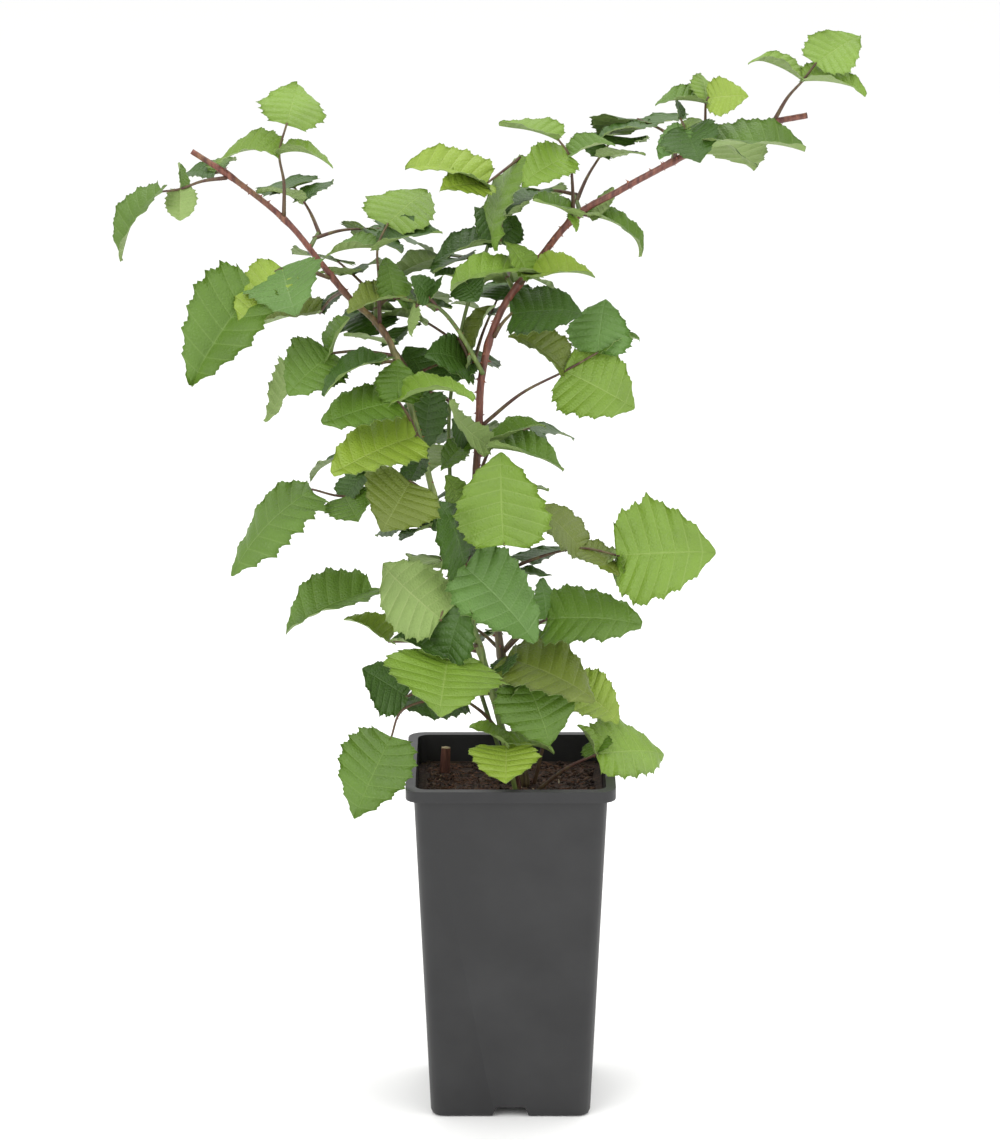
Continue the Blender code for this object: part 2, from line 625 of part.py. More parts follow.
def make_pot(parts, helpers):
    """Tapered pot with a turned-down lip, raised drain bays and a hole in each."""
    pot = block("pot", POT_BOTTOM, POT_TOP, 0, POT_HEIGHT, POT_CORNER, POT_FOOT_ROUND, parts)
    pot.data.materials.append(material("pot_plastic", (0.03, 0.032, 0.035), 0.5))
    lip = block("lip", POT_RIM, POT_RIM, POT_HEIGHT - LIP_HEIGHT, POT_HEIGHT, POT_CORNER + 2, 0,
                helpers)
    groove_width = POT_RIM - 2 * LIP_THICK
    groove = block("groove", groove_width, groove_width, POT_HEIGHT - LIP_HEIGHT - OVERCUT,
                   POT_HEIGHT - LIP_THICK, POT_CORNER + 1, 0, helpers)
    cut(lip, groove)
    cut(pot, lip, "UNION")
    high = POT_HEIGHT + OVERCUT
    cavity = block("cavity", pot_width(POT_FLOOR) - 2 * POT_WALL, pot_width(high) - 2 * POT_WALL,
                   POT_FLOOR, high, POT_CORNER - POT_WALL, 0, helpers)
    cut(pot, cavity)
    slope = (BAY_TOP - BAY_BOTTOM) / BAY_HEIGHT
    for side in range(4):
        angle = side * math.pi / 2
        bay = block(f"bay_{side}", BAY_BOTTOM - slope * OVERCUT, BAY_TOP, -OVERCUT, BAY_HEIGHT,
                    1.5, 0, helpers)
        bay.data.transform(turned_box(angle, BAY_DEPTH + OVERCUT, BAY_BOTTOM))
        cut(pot, bay)
        bpy.ops.mesh.primitive_cylinder_add(vertices=16, radius=DRAIN_RADIUS * MM,
                                            depth=2 * POT_FLOOR * MM)
        drain = bpy.context.object
        drain.name = f"drain_{side}"
        reach = (POT_BOTTOM / 2 - 0.6 * BAY_DEPTH) * MM
        drain.location = (reach * math.sin(angle), -reach * math.cos(angle), POT_FLOOR * MM)
        for home in list(drain.users_collection):
            home.objects.unlink(drain)
        helpers.objects.link(drain)
        cut(pot, drain)


def turned_box(angle, depth, width):
    """Matrix that stretches a bay's block inwards, moves it to a wall and turns it to a side."""
    stretch = Matrix.Diagonal((1, depth / width, 1, 1))
    middle = POT_BOTTOM / 2 + OVERCUT - depth / 2
    return Matrix.Rotation(angle, 4, "Z") @ Matrix.Translation((0, -middle * MM, 0)) @ stretch


def ring_of(half, corner, steps=5):
    """Points of a rounded square, counter-clockwise."""
    points = []
    for quarter in range(4):
        start = quarter * math.pi / 2
        for k in range(steps + 1):
            turn = start + k * math.pi / 2 / steps
            side = half - corner
            x = side if quarter in (0, 3) else -side
            y = side if quarter in (0, 1) else -side
            points.append((x + corner * math.cos(turn), y + corner * math.sin(turn)))
    return np.array(points)


def compost_dip(x, y):
    """Depth of the compost's surface under its top: slow lumps, and flat round every foot."""
    feet = [STUB_FOOT] + [share for _, stem, share, *_ in LEAVES if stem == "compost"]
    feet += [stem[0][0][:2] for name, stem in STEMS.items() if name != "side"]
    lumps = 0.5 + 0.25 * (np.sin(0.19 * x + 0.7) * np.cos(0.23 * y) + np.sin(0.31 * y - 0.11 * x))
    nearest = np.min([np.hypot(x - fx, y - fy) for fx, fy in feet], axis=0)
    return SOIL_DIP * lumps * (1 - np.exp(-np.clip(nearest - 4, 0, None) ** 2 / SOIL_CLEAR**2))


def make_compost(parts):
    """Compost lofted up the pot's inside and over its lumpy top."""
    low = POT_FLOOR + GAP
    corner = POT_CORNER - POT_WALL
    inside = -POT_WALL - GAP
    bottom = ring_of(pot_width(low) / 2 + inside, corner)
    top = ring_of(pot_width(SOIL_TOP) / 2 + inside, corner)
    count = len(bottom)
    rings = [np.column_stack([bottom, np.full(count, low)])]
    for k in range(SOIL_RINGS):
        flat = top * (1 - k / SOIL_RINGS)
        rings.append(np.column_stack([flat, SOIL_TOP - compost_dip(*flat.T)]))
    centre = [(0, 0, SOIL_TOP - float(compost_dip(np.zeros(1), np.zeros(1))[0]))]
    points = np.vstack(rings + [centre])
    faces = [tuple(range(count))[::-1]]
    for k in range(SOIL_RINGS):
        for j in range(count):
            a, b = k * count + j, k * count + (j + 1) % count
            faces += [(a, b, b + count), (a, b + count, a + count)]
    last = SOIL_RINGS * count
    faces += [(last + j, last + (j + 1) % count, last + count) for j in range(count)]
    compost = add_object("compost", shape_mesh("compost", (points, faces)), parts,
                         material("compost", (0.06, 0.035, 0.025), 0.95))
    largest_shell(compost.data)


def make_stub(parts):
    """Short stump of an old cane, standing on the compost."""
    foot = np.array([*STUB_FOOT, SOIL_TOP + GAP])
    top = foot + (0.8, 0.5, STUB_HEIGHT)
    points = np.linspace(foot, top, 3)
    shape = tube(points, (STUB_RADIUS, 0.9 * STUB_RADIUS), 10)
    shape[0][:10, 2] = foot[2]
    add_object("cane_stub", shape_mesh("cane_stub", shape), parts,
               material("old_cane", (0.16, 0.06, 0.04), 0.8))


def make_plant(parts, helpers):
    """Canes, shoots, leaves and sprays, each one closed solid."""
    greens = {tone: material("leaf_" + tone, color, 0.5) for tone, color in TONES.items()}
    bark = material("cane_bark", (0.17, 0.06, 0.045), 0.6)
    tone_of = {row[0]: (row[6] or row[4])[0][5] for row in LEAVES}
    for node, shapes in grow().items():
        if node in OWN_SOLID.values():
            foot = shapes[0][0][:8]
            foot[:, 2] = SOIL_TOP + GAP
            made = bark
        else:
            made = greens[tone_of.get(node, "dark")]
        whole = fuse(node, shapes, made, parts, helpers)
        whole.data.shade_smooth()
        whole.data.set_sharp_from_angle(angle=math.radians(35))


def main():
    for old in list(bpy.data.objects):
        bpy.data.objects.remove(old)
    parts = bpy.data.collections.new("potted_tayberry")
    helpers = bpy.data.collections.new("cutters")
    for collection in (parts, helpers):
        bpy.context.scene.collection.children.link(collection)
    make_pot(parts, helpers)
    make_compost(parts)
    make_stub(parts)
    make_plant(parts, helpers)


main()
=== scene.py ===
# %% [markdown]
# # Potted tayberry
#
# The plant is a young tayberry in a deep square nursery pot: two arching prickly canes, thin leafy
# shoots, compound leaves with toothed and pleated leaflets, compost and a black plastic pot. The
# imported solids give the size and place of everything. This lesson loads them as a fixed frame and
# grows the fine plant over them, leaflet by leaflet, with surfaces worked out in numpy.

# %% Load the frame and keep its box
import math
import random

import bmesh
import bpy
import numpy as np
from mathutils.bvhtree import BVHTree
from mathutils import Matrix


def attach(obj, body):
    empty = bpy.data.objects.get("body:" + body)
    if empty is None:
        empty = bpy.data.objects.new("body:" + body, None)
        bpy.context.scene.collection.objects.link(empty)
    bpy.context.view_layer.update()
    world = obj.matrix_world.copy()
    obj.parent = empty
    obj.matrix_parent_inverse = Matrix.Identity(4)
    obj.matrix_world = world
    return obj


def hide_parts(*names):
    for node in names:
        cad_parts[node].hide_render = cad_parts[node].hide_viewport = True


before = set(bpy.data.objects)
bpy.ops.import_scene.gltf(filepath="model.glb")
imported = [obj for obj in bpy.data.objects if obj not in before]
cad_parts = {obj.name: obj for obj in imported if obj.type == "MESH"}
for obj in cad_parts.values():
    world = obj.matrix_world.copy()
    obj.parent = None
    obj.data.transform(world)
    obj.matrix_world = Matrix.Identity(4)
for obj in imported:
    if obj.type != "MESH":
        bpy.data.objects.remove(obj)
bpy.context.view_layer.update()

MM = 0.001

# %% [markdown]
# ## Camera
#
# The photograph looks slightly down on the plant from about three metres. The width of the pot's
# rim against that of its foot gives the pitch and the distance. One could guess a camera and turn
# the plant until it fits, but a camera worked out from the straight edges of the pot is exact, so
# it is set first and everything after it can be compared with the photograph.

# %% Camera
CAMERA_PLACE = (-0.007, -3.23886, 1.21674)
CAMERA_PITCH = 14.8
CAMERA_LENS = 184.26
SENSOR_WIDTH = 36
lens = bpy.data.cameras.new("portrait_lens")
lens.lens = CAMERA_LENS
lens.sensor_fit = "HORIZONTAL"
lens.sensor_width = SENSOR_WIDTH
camera = bpy.data.objects.new("portrait_camera", lens)
camera.location = CAMERA_PLACE
camera.rotation_euler = (math.radians(90 - CAMERA_PITCH), 0, 0)
bpy.context.scene.collection.objects.link(camera)
bpy.context.scene.camera = camera
print("camera lens", CAMERA_LENS, "mm")

# %% [markdown]
# ## Growth rule
#
# A tayberry leaf stands on a long stalk and carries two or three leaflets, the last of them often
# on a run of its own. One could scatter leaves at random inside the crown, but then none would match
# the plant in the photograph. So each leaf has a row with its place on its cane, its stalk and its
# leaflets. The solids were grown from these rows, and the same rule is written again here, so every
# fine leaf sits exactly where its solid is. Lengths are millimetres, headings turn from +X towards
# +Y, and rises are degrees over the horizontal.

# %% Stems
# Each stem has the points of its centre line, then its radius at its foot and at its tip. The two
# canes are solids of their own, and everything else keeps one gap off them.
GAP = 0.3
SOIL_TOP = 213.0
STEMS = {
    "left": ([(4, -8, 213.3), (-14, -10, 288), (-32, -14, 351), (-50, -18, 416), (-59, -18, 453),
              (-75, -14, 509), (-87, -11, 529), (-104, -6, 544), (-123, -2, 567), (-145, 2, 593),
              (-179, 6, 620), (-205, 8, 637)], 2.4, 1.8),
    "right": ([(10, 3, 213.3), (-4, 4, 290), (-10, 6, 328), (-22, 8, 406), (-21, 8, 450),
               (-18, 6, 495), (-6, 2, 534), (19, -4, 570), (42, -8, 598), (70, -10, 615),
               (98, -12, 631), (127, -12, 646), (162, -10, 658), (189, -8, 663)], 2.9, 1.9),
    "middle": ([(-1, 14, 213.3), (-28, 18, 302), (-37, 24, 361), (-40, 26, 422), (-40, 24, 464),
                (-34, 20, 507), (-28, 16, 535), (-20, 10, 559), (-8, 4, 596), (6, -2, 633)],
               1.5, 1.1),
    "side": ([(-18, 2, 492), (-33, -6, 521), (-46, -12, 538), (-60, -16, 543), (-72, -18, 546)],
             1.6, 1.1),
}
OWN_SOLID = {"left": "cane_left", "right": "cane_right"}
SIDE_START = 4.6

# %% Leaves
# A habit is the droop along the midrib and the fold of the halves, in degrees, and a width factor.
HABITS = {
    "open": (20, 3, 1.0),
    "broad": (25, 0, 1.2),
    "oval": (25, 6, 0.84),
    "arched": (32, 25, 0.72),
    "bowed": (70, 22, 0.62),
    "hanging": (50, -10, 0.58),
}
# Leaves: name, stem, place along it (or x, y on the compost), stalk (heading, rise, length),
# leaflets at the end of the stalk, rachis or None, leaflets at the end of the rachis.
# A leaflet is (heading, rise, length, roll, habit, tone).
# A leaflet's tone also holds painted light: the light tone is partly painted light on lit leaflets, the
# dark and olive tones are partly painted shade on leaflets that lie low, behind or under others, and
# the sage tone is partly a painted sheen.
LEAVES = [
    ("left_tip", "left", 0.94, (200, -10, 34),
     [(270, -45, 25, -170, "oval", "under"), (100, 40, 21, 55, "arched", "mid")],
     (195, -5, 12), [(195, -60, 51, -10, "bowed", "mid")]),
    ("left_bud", "left", 0.95, (120, -10, 11),
     [(155, -5, 25, -20, "oval", "dark"), (65, 10, 25, -5, "arched", "mid")], None, []),
    ("left_1", "left", 0.85, (225, 85, 44),
     [(160, -15, 45, -20, "bowed", "light"), (350, -15, 36, 0, "bowed", "light")],
     (10, 75, 19), [(80, 30, 40, 15, "open", "light")]),
    ("left_2", "left", 0.75, (205, 15, 37),
     [(225, -40, 49, -10, "oval", "lime"), (295, -40, 50, 25, "open", "sage")],
     (195, -30, 20), [(190, -55, 78, -40, "arched", "mid")]),
    ("left_3", "left", 0.66, (265, 80, 56),
     [(175, -10, 35, 0, "arched", "mid"), (350, 15, 44, 15, "arched", "dark")],
     (40, 60, 16), [(45, 25, 41, 15, "broad", "light")]),
    ("left_4", "left", 0.62, (195, 5, 42),
     [(220, -30, 42, -35, "open", "mid"), (305, 50, 35, 65, "arched", "mid")],
     (160, -15, 33), [(175, -70, 42, 145, "hanging", "under")]),
    ("left_5", "left", 0.61, (240, 10, 19),
     [(190, -25, 47, 0, "bowed", "dark"), (120, 5, 28, -15, "oval", "dark")], None, []),
    ("left_back", "left", 0.73, (115, -30, 44),
     [(175, -15, 43, -15, "arched", "olive"), (35, 35, 22, -5, "oval", "dark")], None, []),
    ("left_6", "left", 0.50, (240, 50, 42),
     [(190, -15, 51, -25, "oval", "mid"), (345, 5, 51, 10, "bowed", "light"),
      (95, 45, 37, 15, "open", "mid")], None, []),
    ("left_7", "left", 0.49, (260, 35, 23),
     [(200, -20, 61, -25, "oval", "lime"), (170, -45, 27, -30, "hanging", "dark")], None, []),
    ("left_8", "left", 0.43, (190, 0, 58),
     [(35, 35, 29, 5, "oval", "dark"), (290, -20, 30, 25, "open", "mid")],
     (190, 15, 21), [(195, -45, 77, -25, "hanging", "mid")]),
    ("left_9", "left", 0.41, (230, 40, 34),
     [(235, -40, 41, -40, "broad", "olive"), (55, 40, 25, -10, "oval", "dark")], None, []),
    ("left_10", "left", 0.33, (255, -45, 43), [(195, 45, 57, 105, "oval", "olive")], None, []),
    ("left_11", "left", 0.27, (190, 10, 63), [(200, -20, 64, -15, "arched", "mid")], None, []),
    ("left_12", "left", 0.21, (240, 0, 40),
     [(265, -20, 60, -10, "broad", "light"), (165, 15, 41, -10, "arched", "dark"),
      (25, 70, 42, 30, "oval", "dark")], None, []),
    ("left_13", "left", 0.20, (175, 5, 60), [(190, 30, 35, -20, "arched", "lime")], None, []),
    ("left_14", "left", 0.17, (190, -15, 55), [(195, 35, 37, -70, "open", "dark")], None, []),
    ("left_15", "left", 0.14, (200, -5, 62), [],
     (200, -65, 20), [(215, -60, 58, -35, "oval", "mid")]),
    ("left_16", "left", 0.08, (195, 45, 34), [(200, 0, 48, -15, "open", "dark")], None, []),
    ("middle_top", "middle", 1.00, (280, 30, 7), [(210, -70, 64, 5, "hanging", "under")],
     (195, -35, 29), [(185, 15, 54, -20, "arched", "lime"), (220, 0, 36, -25, "oval", "lime")]),
    ("middle_1", "middle", 0.93, (115, -80, 28),
     [(185, -15, 45, -10, "arched", "dark"), (155, 50, 29, -30, "oval", "dark"),
      (40, 50, 25, 25, "open", "dark")], None, []),
    ("middle_2", "middle", 0.84, (175, -50, 22),
     [(210, 20, 22, -20, "arched", "dark"), (305, -30, 20, 40, "broad", "dark")], None, []),
    ("middle_3", "middle", 0.70, (320, -60, 17),
     [(35, 65, 42, 0, "arched", "olive"), (175, 25, 37, -45, "open", "dark"),
      (220, -30, 21, -15, "open", "dark")], None, []),
    ("middle_4", "middle", 0.60, (240, 25, 27),
     [(155, 50, 42, -15, "oval", "dark"), (235, -80, 39, -5, "oval", "dark")], None, []),
    ("middle_5", "middle", 0.53, (305, 20, 25),
     [(210, 50, 21, -70, "open", "dark"), (210, -40, 28, -10, "oval", "mid")], None, []),
    ("middle_6", "middle", 0.44, (285, 0, 27),
     [(205, 70, 29, -65, "open", "light"), (200, -25, 22, -35, "open", "dark")], None, []),
    ("side_tip", "side", 1.00, (220, 15, 4),
     [(185, -10, 40, -10, "arched", "olive"), (95, 20, 27, 10, "open", "mid"),
      (75, 0, 31, 45, "oval", "mid")], None, []),
    ("side_1", "side", 0.67, (180, 55, 8),
     [(205, 50, 20, -65, "open", "dark"), (35, 50, 17, -10, "oval", "dark")], None, []),
    ("side_2", "side", 0.82, (245, -10, 5), [(255, -60, 21, 105, "hanging", "under")], None, []),
    ("right_tip", "right", 0.96, (345, 55, 34),
     [(165, 20, 38, 0, "arched", "light"), (355, -10, 42, 10, "arched", "light")],
     (20, 50, 13), [(30, 25, 37, 30, "open", "light")]),
    ("right_1", "right", 0.88, (270, 75, 30),
     [(185, 0, 33, -10, "arched", "mid"), (95, 30, 28, 30, "oval", "light")],
     (355, 65, 3), [(355, 5, 26, 50, "open", "lime")]),
    ("right_2", "right", 0.86, (320, 20, 17), [(355, 0, 62, 10, "arched", "mid")], None, []),
    ("right_3", "right", 0.84, (310, 65, 25),
     [(305, -45, 36, 20, "open", "dark"), (210, -45, 26, -20, "oval", "sage"),
      (45, 15, 17, 5, "oval", "light")], (140, 60, 7), [(125, 70, 14, 30, "oval", "dark")]),
    ("right_4", "right", 0.71, (245, 80, 43),
     [(5, 15, 31, 15, "arched", "mid"), (205, -25, 38, -35, "oval", "light")],
     (175, 55, 12), [(170, 10, 39, -5, "arched", "light")]),
    ("right_5", "right", 0.72, (50, -20, 8),
     [(0, -35, 45, 10, "bowed", "mid"), (25, 45, 25, -175, "oval", "under"),
      (60, -5, 25, 70, "open", "sage")], None, []),
    ("right_6", "right", 0.71, (260, 30, 7),
     [(190, 25, 36, -20, "arched", "mid"), (280, -35, 15, -30, "hanging", "light")], None, []),
    ("right_7", "right", 0.61, (295, 25, 18),
     [(200, -5, 55, -10, "bowed", "light"), (165, 55, 29, -20, "oval", "light"),
      (355, 5, 44, 15, "arched", "lime")], None, []),
    ("right_8", "right", 0.53, (320, 50, 29), [(355, 5, 47, 30, "open", "dark")], None, []),
    ("right_9", "right", 0.43, (350, 35, 69),
     [(175, 35, 44, -25, "arched", "olive"), (345, -25, 52, 55, "open", "light")],
     (0, 30, 25), [(60, 75, 35, 10, "broad", "sage"), (355, 15, 46, 5, "arched", "mid")]),
    ("right_10", "right", 0.36, (290, 50, 42),
     [(195, 50, 44, 145, "hanging", "under"), (0, 25, 39, 5, "arched", "mid"),
      (350, -15, 50, 5, "arched", "mid")], None, []),
    ("right_11", "right", 0.31, (290, 0, 44), [(100, 80, 60, -25, "open", "light")], None, []),
    ("right_12", "right", 0.30, (250, -20, 35),
     [(165, 70, 48, -45, "broad", "dark"), (345, -45, 68, 35, "oval", "sage")], None, []),
    ("right_13", "right", 0.25, (355, 20, 64),
     [(180, 45, 40, -25, "open", "olive"), (335, -30, 31, 15, "oval", "olive")],
     (355, -10, 25), [(350, 5, 65, 65, "open", "light"), (300, -70, 27, 155, "hanging", "under"),
                      (175, -5, 36, 165, "hanging", "under")]),
    ("right_14", "right", 0.16, (335, 40, 42),
     [(350, 0, 64, 30, "oval", "mid"), (105, 60, 28, 35, "open", "sage"),
      (20, 15, 54, 0, "oval", "dark")], None, []),
    ("right_15", "right", 0.11, (265, 60, 35),
     [(355, -20, 67, 20, "oval", "olive"), (260, -20, 22, 20, "oval", "dark")], None, []),
    ("right_16", "right", 0.10, (290, 40, 37),
     [(315, -60, 47, 20, "broad", "mid"), (230, -50, 29, 5, "oval", "mid")], None, []),
    ("low_1", "compost", (6, -14), (245, 60, 43),
     [(270, -30, 35, 0, "broad", "lime"), (190, 30, 28, -15, "arched", "light"),
      (5, -10, 33, 5, "arched", "light")], None, []),
    ("low_2", "compost", (20, -8), (340, 35, 47),
     [(350, -10, 57, 40, "oval", "light"), (160, 55, 23, 5, "arched", "light"),
      (70, 30, 22, -25, "open", "mid")], None, []),
    ("low_3", "compost", (16, 6), (350, 70, 73),
     [(340, -35, 41, 35, "oval", "lime"), (295, -55, 27, -20, "oval", "dark")], None, []),
]

# %% Directions and curves
def aim(heading, rise):
    """Unit vector at a heading (from +X towards +Y) and a rise over the horizontal."""
    h, r = math.radians(heading), math.radians(rise)
    return np.array([math.cos(r) * math.cos(h), math.cos(r) * math.sin(h), math.sin(r)])


def leaned(heading, rise, lean):
    """Heading and rise after leaning towards the front (-Y) by a share of the length."""
    x, y, z = aim(heading, rise) - np.array([0, lean, 0])
    return math.degrees(math.atan2(y, x)), math.degrees(math.atan2(z, math.hypot(x, y)))


def axes(heading, rise, roll):
    """Forward, left and normal of a leaflet turned by roll about its midrib."""
    forward = aim(heading, rise)
    flat = aim(heading, rise + 90)
    turn = math.radians(roll)
    normal = flat * math.cos(turn) + np.cross(forward, flat) * math.sin(turn)
    return forward, np.cross(normal, forward), normal


def spline(points, step):
    """Smooth cubic curve through the points, with a section about every step."""
    p = np.asarray(points, float)
    p = np.vstack([2 * p[0] - p[1], p, 2 * p[-1] - p[-2]])
    runs = []
    for a, b, c, d in zip(p, p[1:], p[2:], p[3:]):
        count = max(1, round(np.linalg.norm(c - b) / step))
        t = np.linspace(0, 1, count, endpoint=False)[:, None]
        runs.append(0.5 * (2 * b + (c - a) * t + (2 * a - 5 * b + 4 * c - d) * t**2
                           + (3 * b - a - 3 * c + d) * t**3))
    return np.vstack(runs + [p[-2:-1]])


def place_on(stem, share):
    """Point, direction and radius at a share of a stem's length."""
    curve, foot, tip = stem
    steps = np.linalg.norm(np.diff(curve, axis=0), axis=1)
    at = np.concatenate([[0], np.cumsum(steps)]) / steps.sum()
    point = np.array([np.interp(share, at, curve[:, k]) for k in range(3)])
    k = min(int(np.searchsorted(at, share, side="right")), len(curve) - 1)
    tangent = curve[k] - curve[k - 1]
    return point, tangent / np.linalg.norm(tangent), foot + (tip - foot) * share


STALK_ARCH = 0.05
STALK_STEPS = 2


def arched(start, heading, rise, length):
    """Points of a slightly arched run from start."""
    t = np.linspace(0, 1, STALK_STEPS + 1)[:, None]
    lift = 4 * t * (1 - t) * STALK_ARCH * length
    return start + t * length * aim(heading, rise) + lift * aim(heading, rise + 90)


# %% Tubes, as the solids have them
TUBE_SIDE = (0.31, 0.86, 0.4)


def tube(points, radii, sides=3):
    """Closed tube: at each point a ring of sides points, the cross-section turned along the run."""
    points = np.asarray(points, float)
    radii = np.interp(np.linspace(0, 1, len(points)), np.linspace(0, 1, len(radii)), radii)
    tangents = np.gradient(points, axis=0)
    across = np.cross(tangents[0], TUBE_SIDE)
    turns = np.arange(sides) * 2 * math.pi / sides
    rings = []
    for point, tangent, radius in zip(points, tangents, radii):
        tangent = tangent / np.linalg.norm(tangent)
        across = across - tangent * (across @ tangent)
        across = across / np.linalg.norm(across)
        other = np.cross(tangent, across)
        rings.append(point + radius * (np.cos(turns)[:, None] * across
                                       + np.sin(turns)[:, None] * other))
    faces = [tuple(range(sides))[::-1]]
    for k in range(len(points) - 1):
        for j in range(sides):
            a, b = k * sides + j, k * sides + (j + 1) % sides
            faces.append((a, b, b + sides, a + sides))
    faces.append(tuple(range((len(points) - 1) * sides, len(points) * sides)))
    return np.vstack(rings), faces


# %% Leaflets, as the solids have them
# A solid leaflet is a lens with these stations along its midrib, thinning towards its tip.
BLADE_STATIONS = (0.0, 0.14, 0.38, 0.7, 1.0)
BLADE_INNER = 8
BLADE_THICK = 0.014
BLADE_THICK_LEAST = 0.8
BLADE_TAPER = 0.45
BLADE_ROOT = 0.8


def blade_place(base, heading, rise, length, roll, habit):
    """Gives a function that sets a point of the flat leaflet on its drooping, folded surface."""
    droop, fold, _ = HABITS[habit]
    bend = math.radians(droop) / 2
    forward, left, normal = axes(heading, rise, roll)

    def place(u, w, up):
        """Point at u along the arc, w across the fold and up along the leaf's normal."""
        turn = bend - 2 * bend * u
        lift = np.abs(w) * math.sin(math.radians(fold)) + up / length
        x = (math.sin(bend) - np.sin(turn)) / (2 * math.sin(bend)) - np.sin(turn) * lift
        z = (np.cos(turn) - math.cos(bend)) / (2 * math.sin(bend)) + np.cos(turn) * lift
        y = w * math.cos(math.radians(fold))
        return base + length * (x[..., None] * forward + y[..., None] * left
                                + z[..., None] * normal)

    return place


# The outline's values are shares of the leaflet's length, and powers.
HEART_NOTCH = 0.10
HEART_ROOT = 0.15
OUTLINE_SPREAD = 1.35
OUTLINE_WIDTH = 1.30
OUTLINE_SHOULDER = 0.52
OUTLINE_POINT = 0.94
RIB_SPREAD = 1.1


def half_outline(q, wide):
    """Half of a heart-shaped leaflet: x along the midrib and y across it, over its length.

    With s a power of q, the edge runs along the midrib from behind the stalk to the tip, and its
    distance from the midrib is a power of s times a power of 1 - s: a full shoulder and a point.
    """
    s = q**OUTLINE_SPREAD
    root = HEART_NOTCH * np.clip(1 - q / HEART_ROOT, 0, 1)
    along = (1 + HEART_NOTCH) * s - HEART_NOTCH + root
    return along, OUTLINE_WIDTH * wide * s**OUTLINE_SHOULDER * (1 - s)**OUTLINE_POINT


def blade(base, heading, rise, length, roll, habit, extra=0.0):
    """Leaflet as a lens: a raised midrib above and below a thin edge, pointed at the tip."""
    q = np.array(BLADE_STATIONS)
    along_edge, half = half_outline(q, HABITS[habit][2])
    half[0] = BLADE_ROOT / length
    along_rib = q**RIB_SPREAD
    thick = max(BLADE_THICK_LEAST, BLADE_THICK * length) * (1 - BLADE_TAPER * q) / 2 + extra
    place = blade_place(base, heading, rise, length, roll, habit)
    ribs = np.zeros(len(q))
    rows = [place(along_rib, ribs, thick), place(along_edge, half, ribs),
            place(along_rib, ribs, -thick), place(along_edge, -half, ribs)]
    last = len(q) - 1
    points = np.concatenate([np.stack(rows, 1)[:last].reshape(-1, 3), rows[1][last:]])
    faces = [(0, 1, 2), (0, 2, 3)]
    for k in range(last - 1):
        a = 4 * k
        for rib, edge in ((0, 1), (2, 1), (2, 3), (0, 3)):
            m, n, e, f = a + rib, a + rib + 4, a + edge, a + edge + 4
            faces += [(m, f, e), (m, n, f)]
    tip, a = 4 * last, 4 * (last - 1)
    faces += [(a, tip, a + 1), (a + 1, tip, a + 2), (a + 2, tip, a + 3), (a + 3, tip, a)]
    return points, faces


def outer_part(shape):
    """A leaflet without the stretch at its root that is sunk into its stalk."""
    points, faces = shape
    return points, [face for face in faces if min(face) >= BLADE_INNER]


# %% Room taken by the pot
# A shape is tested a little larger than it is. The pot's sizes bound the space no leaf may enter.
CLEAR = 0.15
POT_HEIGHT = 230.0
POT_RIM = 137.0
POT_TOP = 127.0
POT_BOTTOM = 105.5
POT_WALL = 1.4
POT_CORNER = 9.0


def box(low, high):
    """Closed box between two corners: vertices and faces."""
    corners = np.array([[x, y, z] for x in (low[0], high[0]) for y in (low[1], high[1])
                        for z in (low[2], high[2])], float)
    faces = [(0, 1, 3, 2), (4, 6, 7, 5), (0, 4, 5, 1), (2, 3, 7, 6), (0, 2, 6, 4), (1, 5, 7, 3)]
    return corners, faces


def pot_boxes():
    """The pot's four walls and the compost as plain boxes, for the leaves to keep clear of."""
    out = POT_RIM / 2 + CLEAR
    inner = POT_TOP / 2 - 3 * POT_WALL
    boxes = [box((-inner, -inner, 0), (inner, inner, SOIL_TOP + CLEAR))]
    for low, high in ((inner, out), (-out, -inner)):
        boxes.append(box((low, -out, 0), (high, out, POT_HEIGHT + CLEAR)))
        boxes.append(box((-out, low, 0), (out, high, POT_HEIGHT + CLEAR)))
    return boxes


# %% Room between the leaves
class Room:
    """Space taken by the shapes placed so far, to keep each mass clear of the others."""

    def __init__(self):
        self.taken = []

    def add(self, node, whole, outer=None):
        """Takes the room of a shape; within its own node only the outer part counts."""
        trees = BVHTree.FromPolygons(*whole), BVHTree.FromPolygons(*(outer or whole))
        self.taken.append((node, whole[0].min(0), whole[0].max(0), trees))

    def is_clear(self, node, whole, outer=None):
        """Whether a shape crosses no other node, and its outer part nothing of its own node."""
        low, high = whole[0].min(0), whole[0].max(0)
        whole_tree = BVHTree.FromPolygons(*whole)
        outer_tree = BVHTree.FromPolygons(*outer) if outer else None
        for other, other_low, other_high, (other_whole, other_outer) in self.taken:
            if (low > other_high).any() or (high < other_low).any():
                continue
            if other != node and whole_tree.overlap(other_whole):
                return False
            if other == node and outer and outer_tree.overlap(other_outer):
                return False
        return True


# %% Sprays behind the canes
# Sprays are leafy spurs at these shares of a cane's length. Their turns and sizes are thrown with
# seeded dice between the limits below.
SPRAYS = [("left", (0.12, 0.25, 0.36, 0.47, 0.57, 0.67, 0.80)),
          ("right", (0.14, 0.27, 0.39, 0.50, 0.60, 0.72, 0.84))]
SPRAY_SEED = 11
SPUR_LENGTH = 16.0
SPUR_RADII = (1.4, 1.1)
SPRAY_STALK = (22, 40)
SPRAY_RACHIS = 14
SPRAY_LEAFLET = (36, 50)
SPRAY_TURNS = (-38, 40)
SPRAY_SHARES = (0.6, 1.0)
SPRAY_RISE = (-5, 40)
LOOSE = 10
RACHIS_DROP = 10
SIDE_LEAFLET = 0.8
SIDE_TURN = (62, 80)
SIDE_DROP = 25
SIDE_ROLL = (0, 25)
END_DROP = (25, 50)
END_ROLL = (-20, 20)
SPUR_TURN = 30
SPUR_RISE = (5, 35)


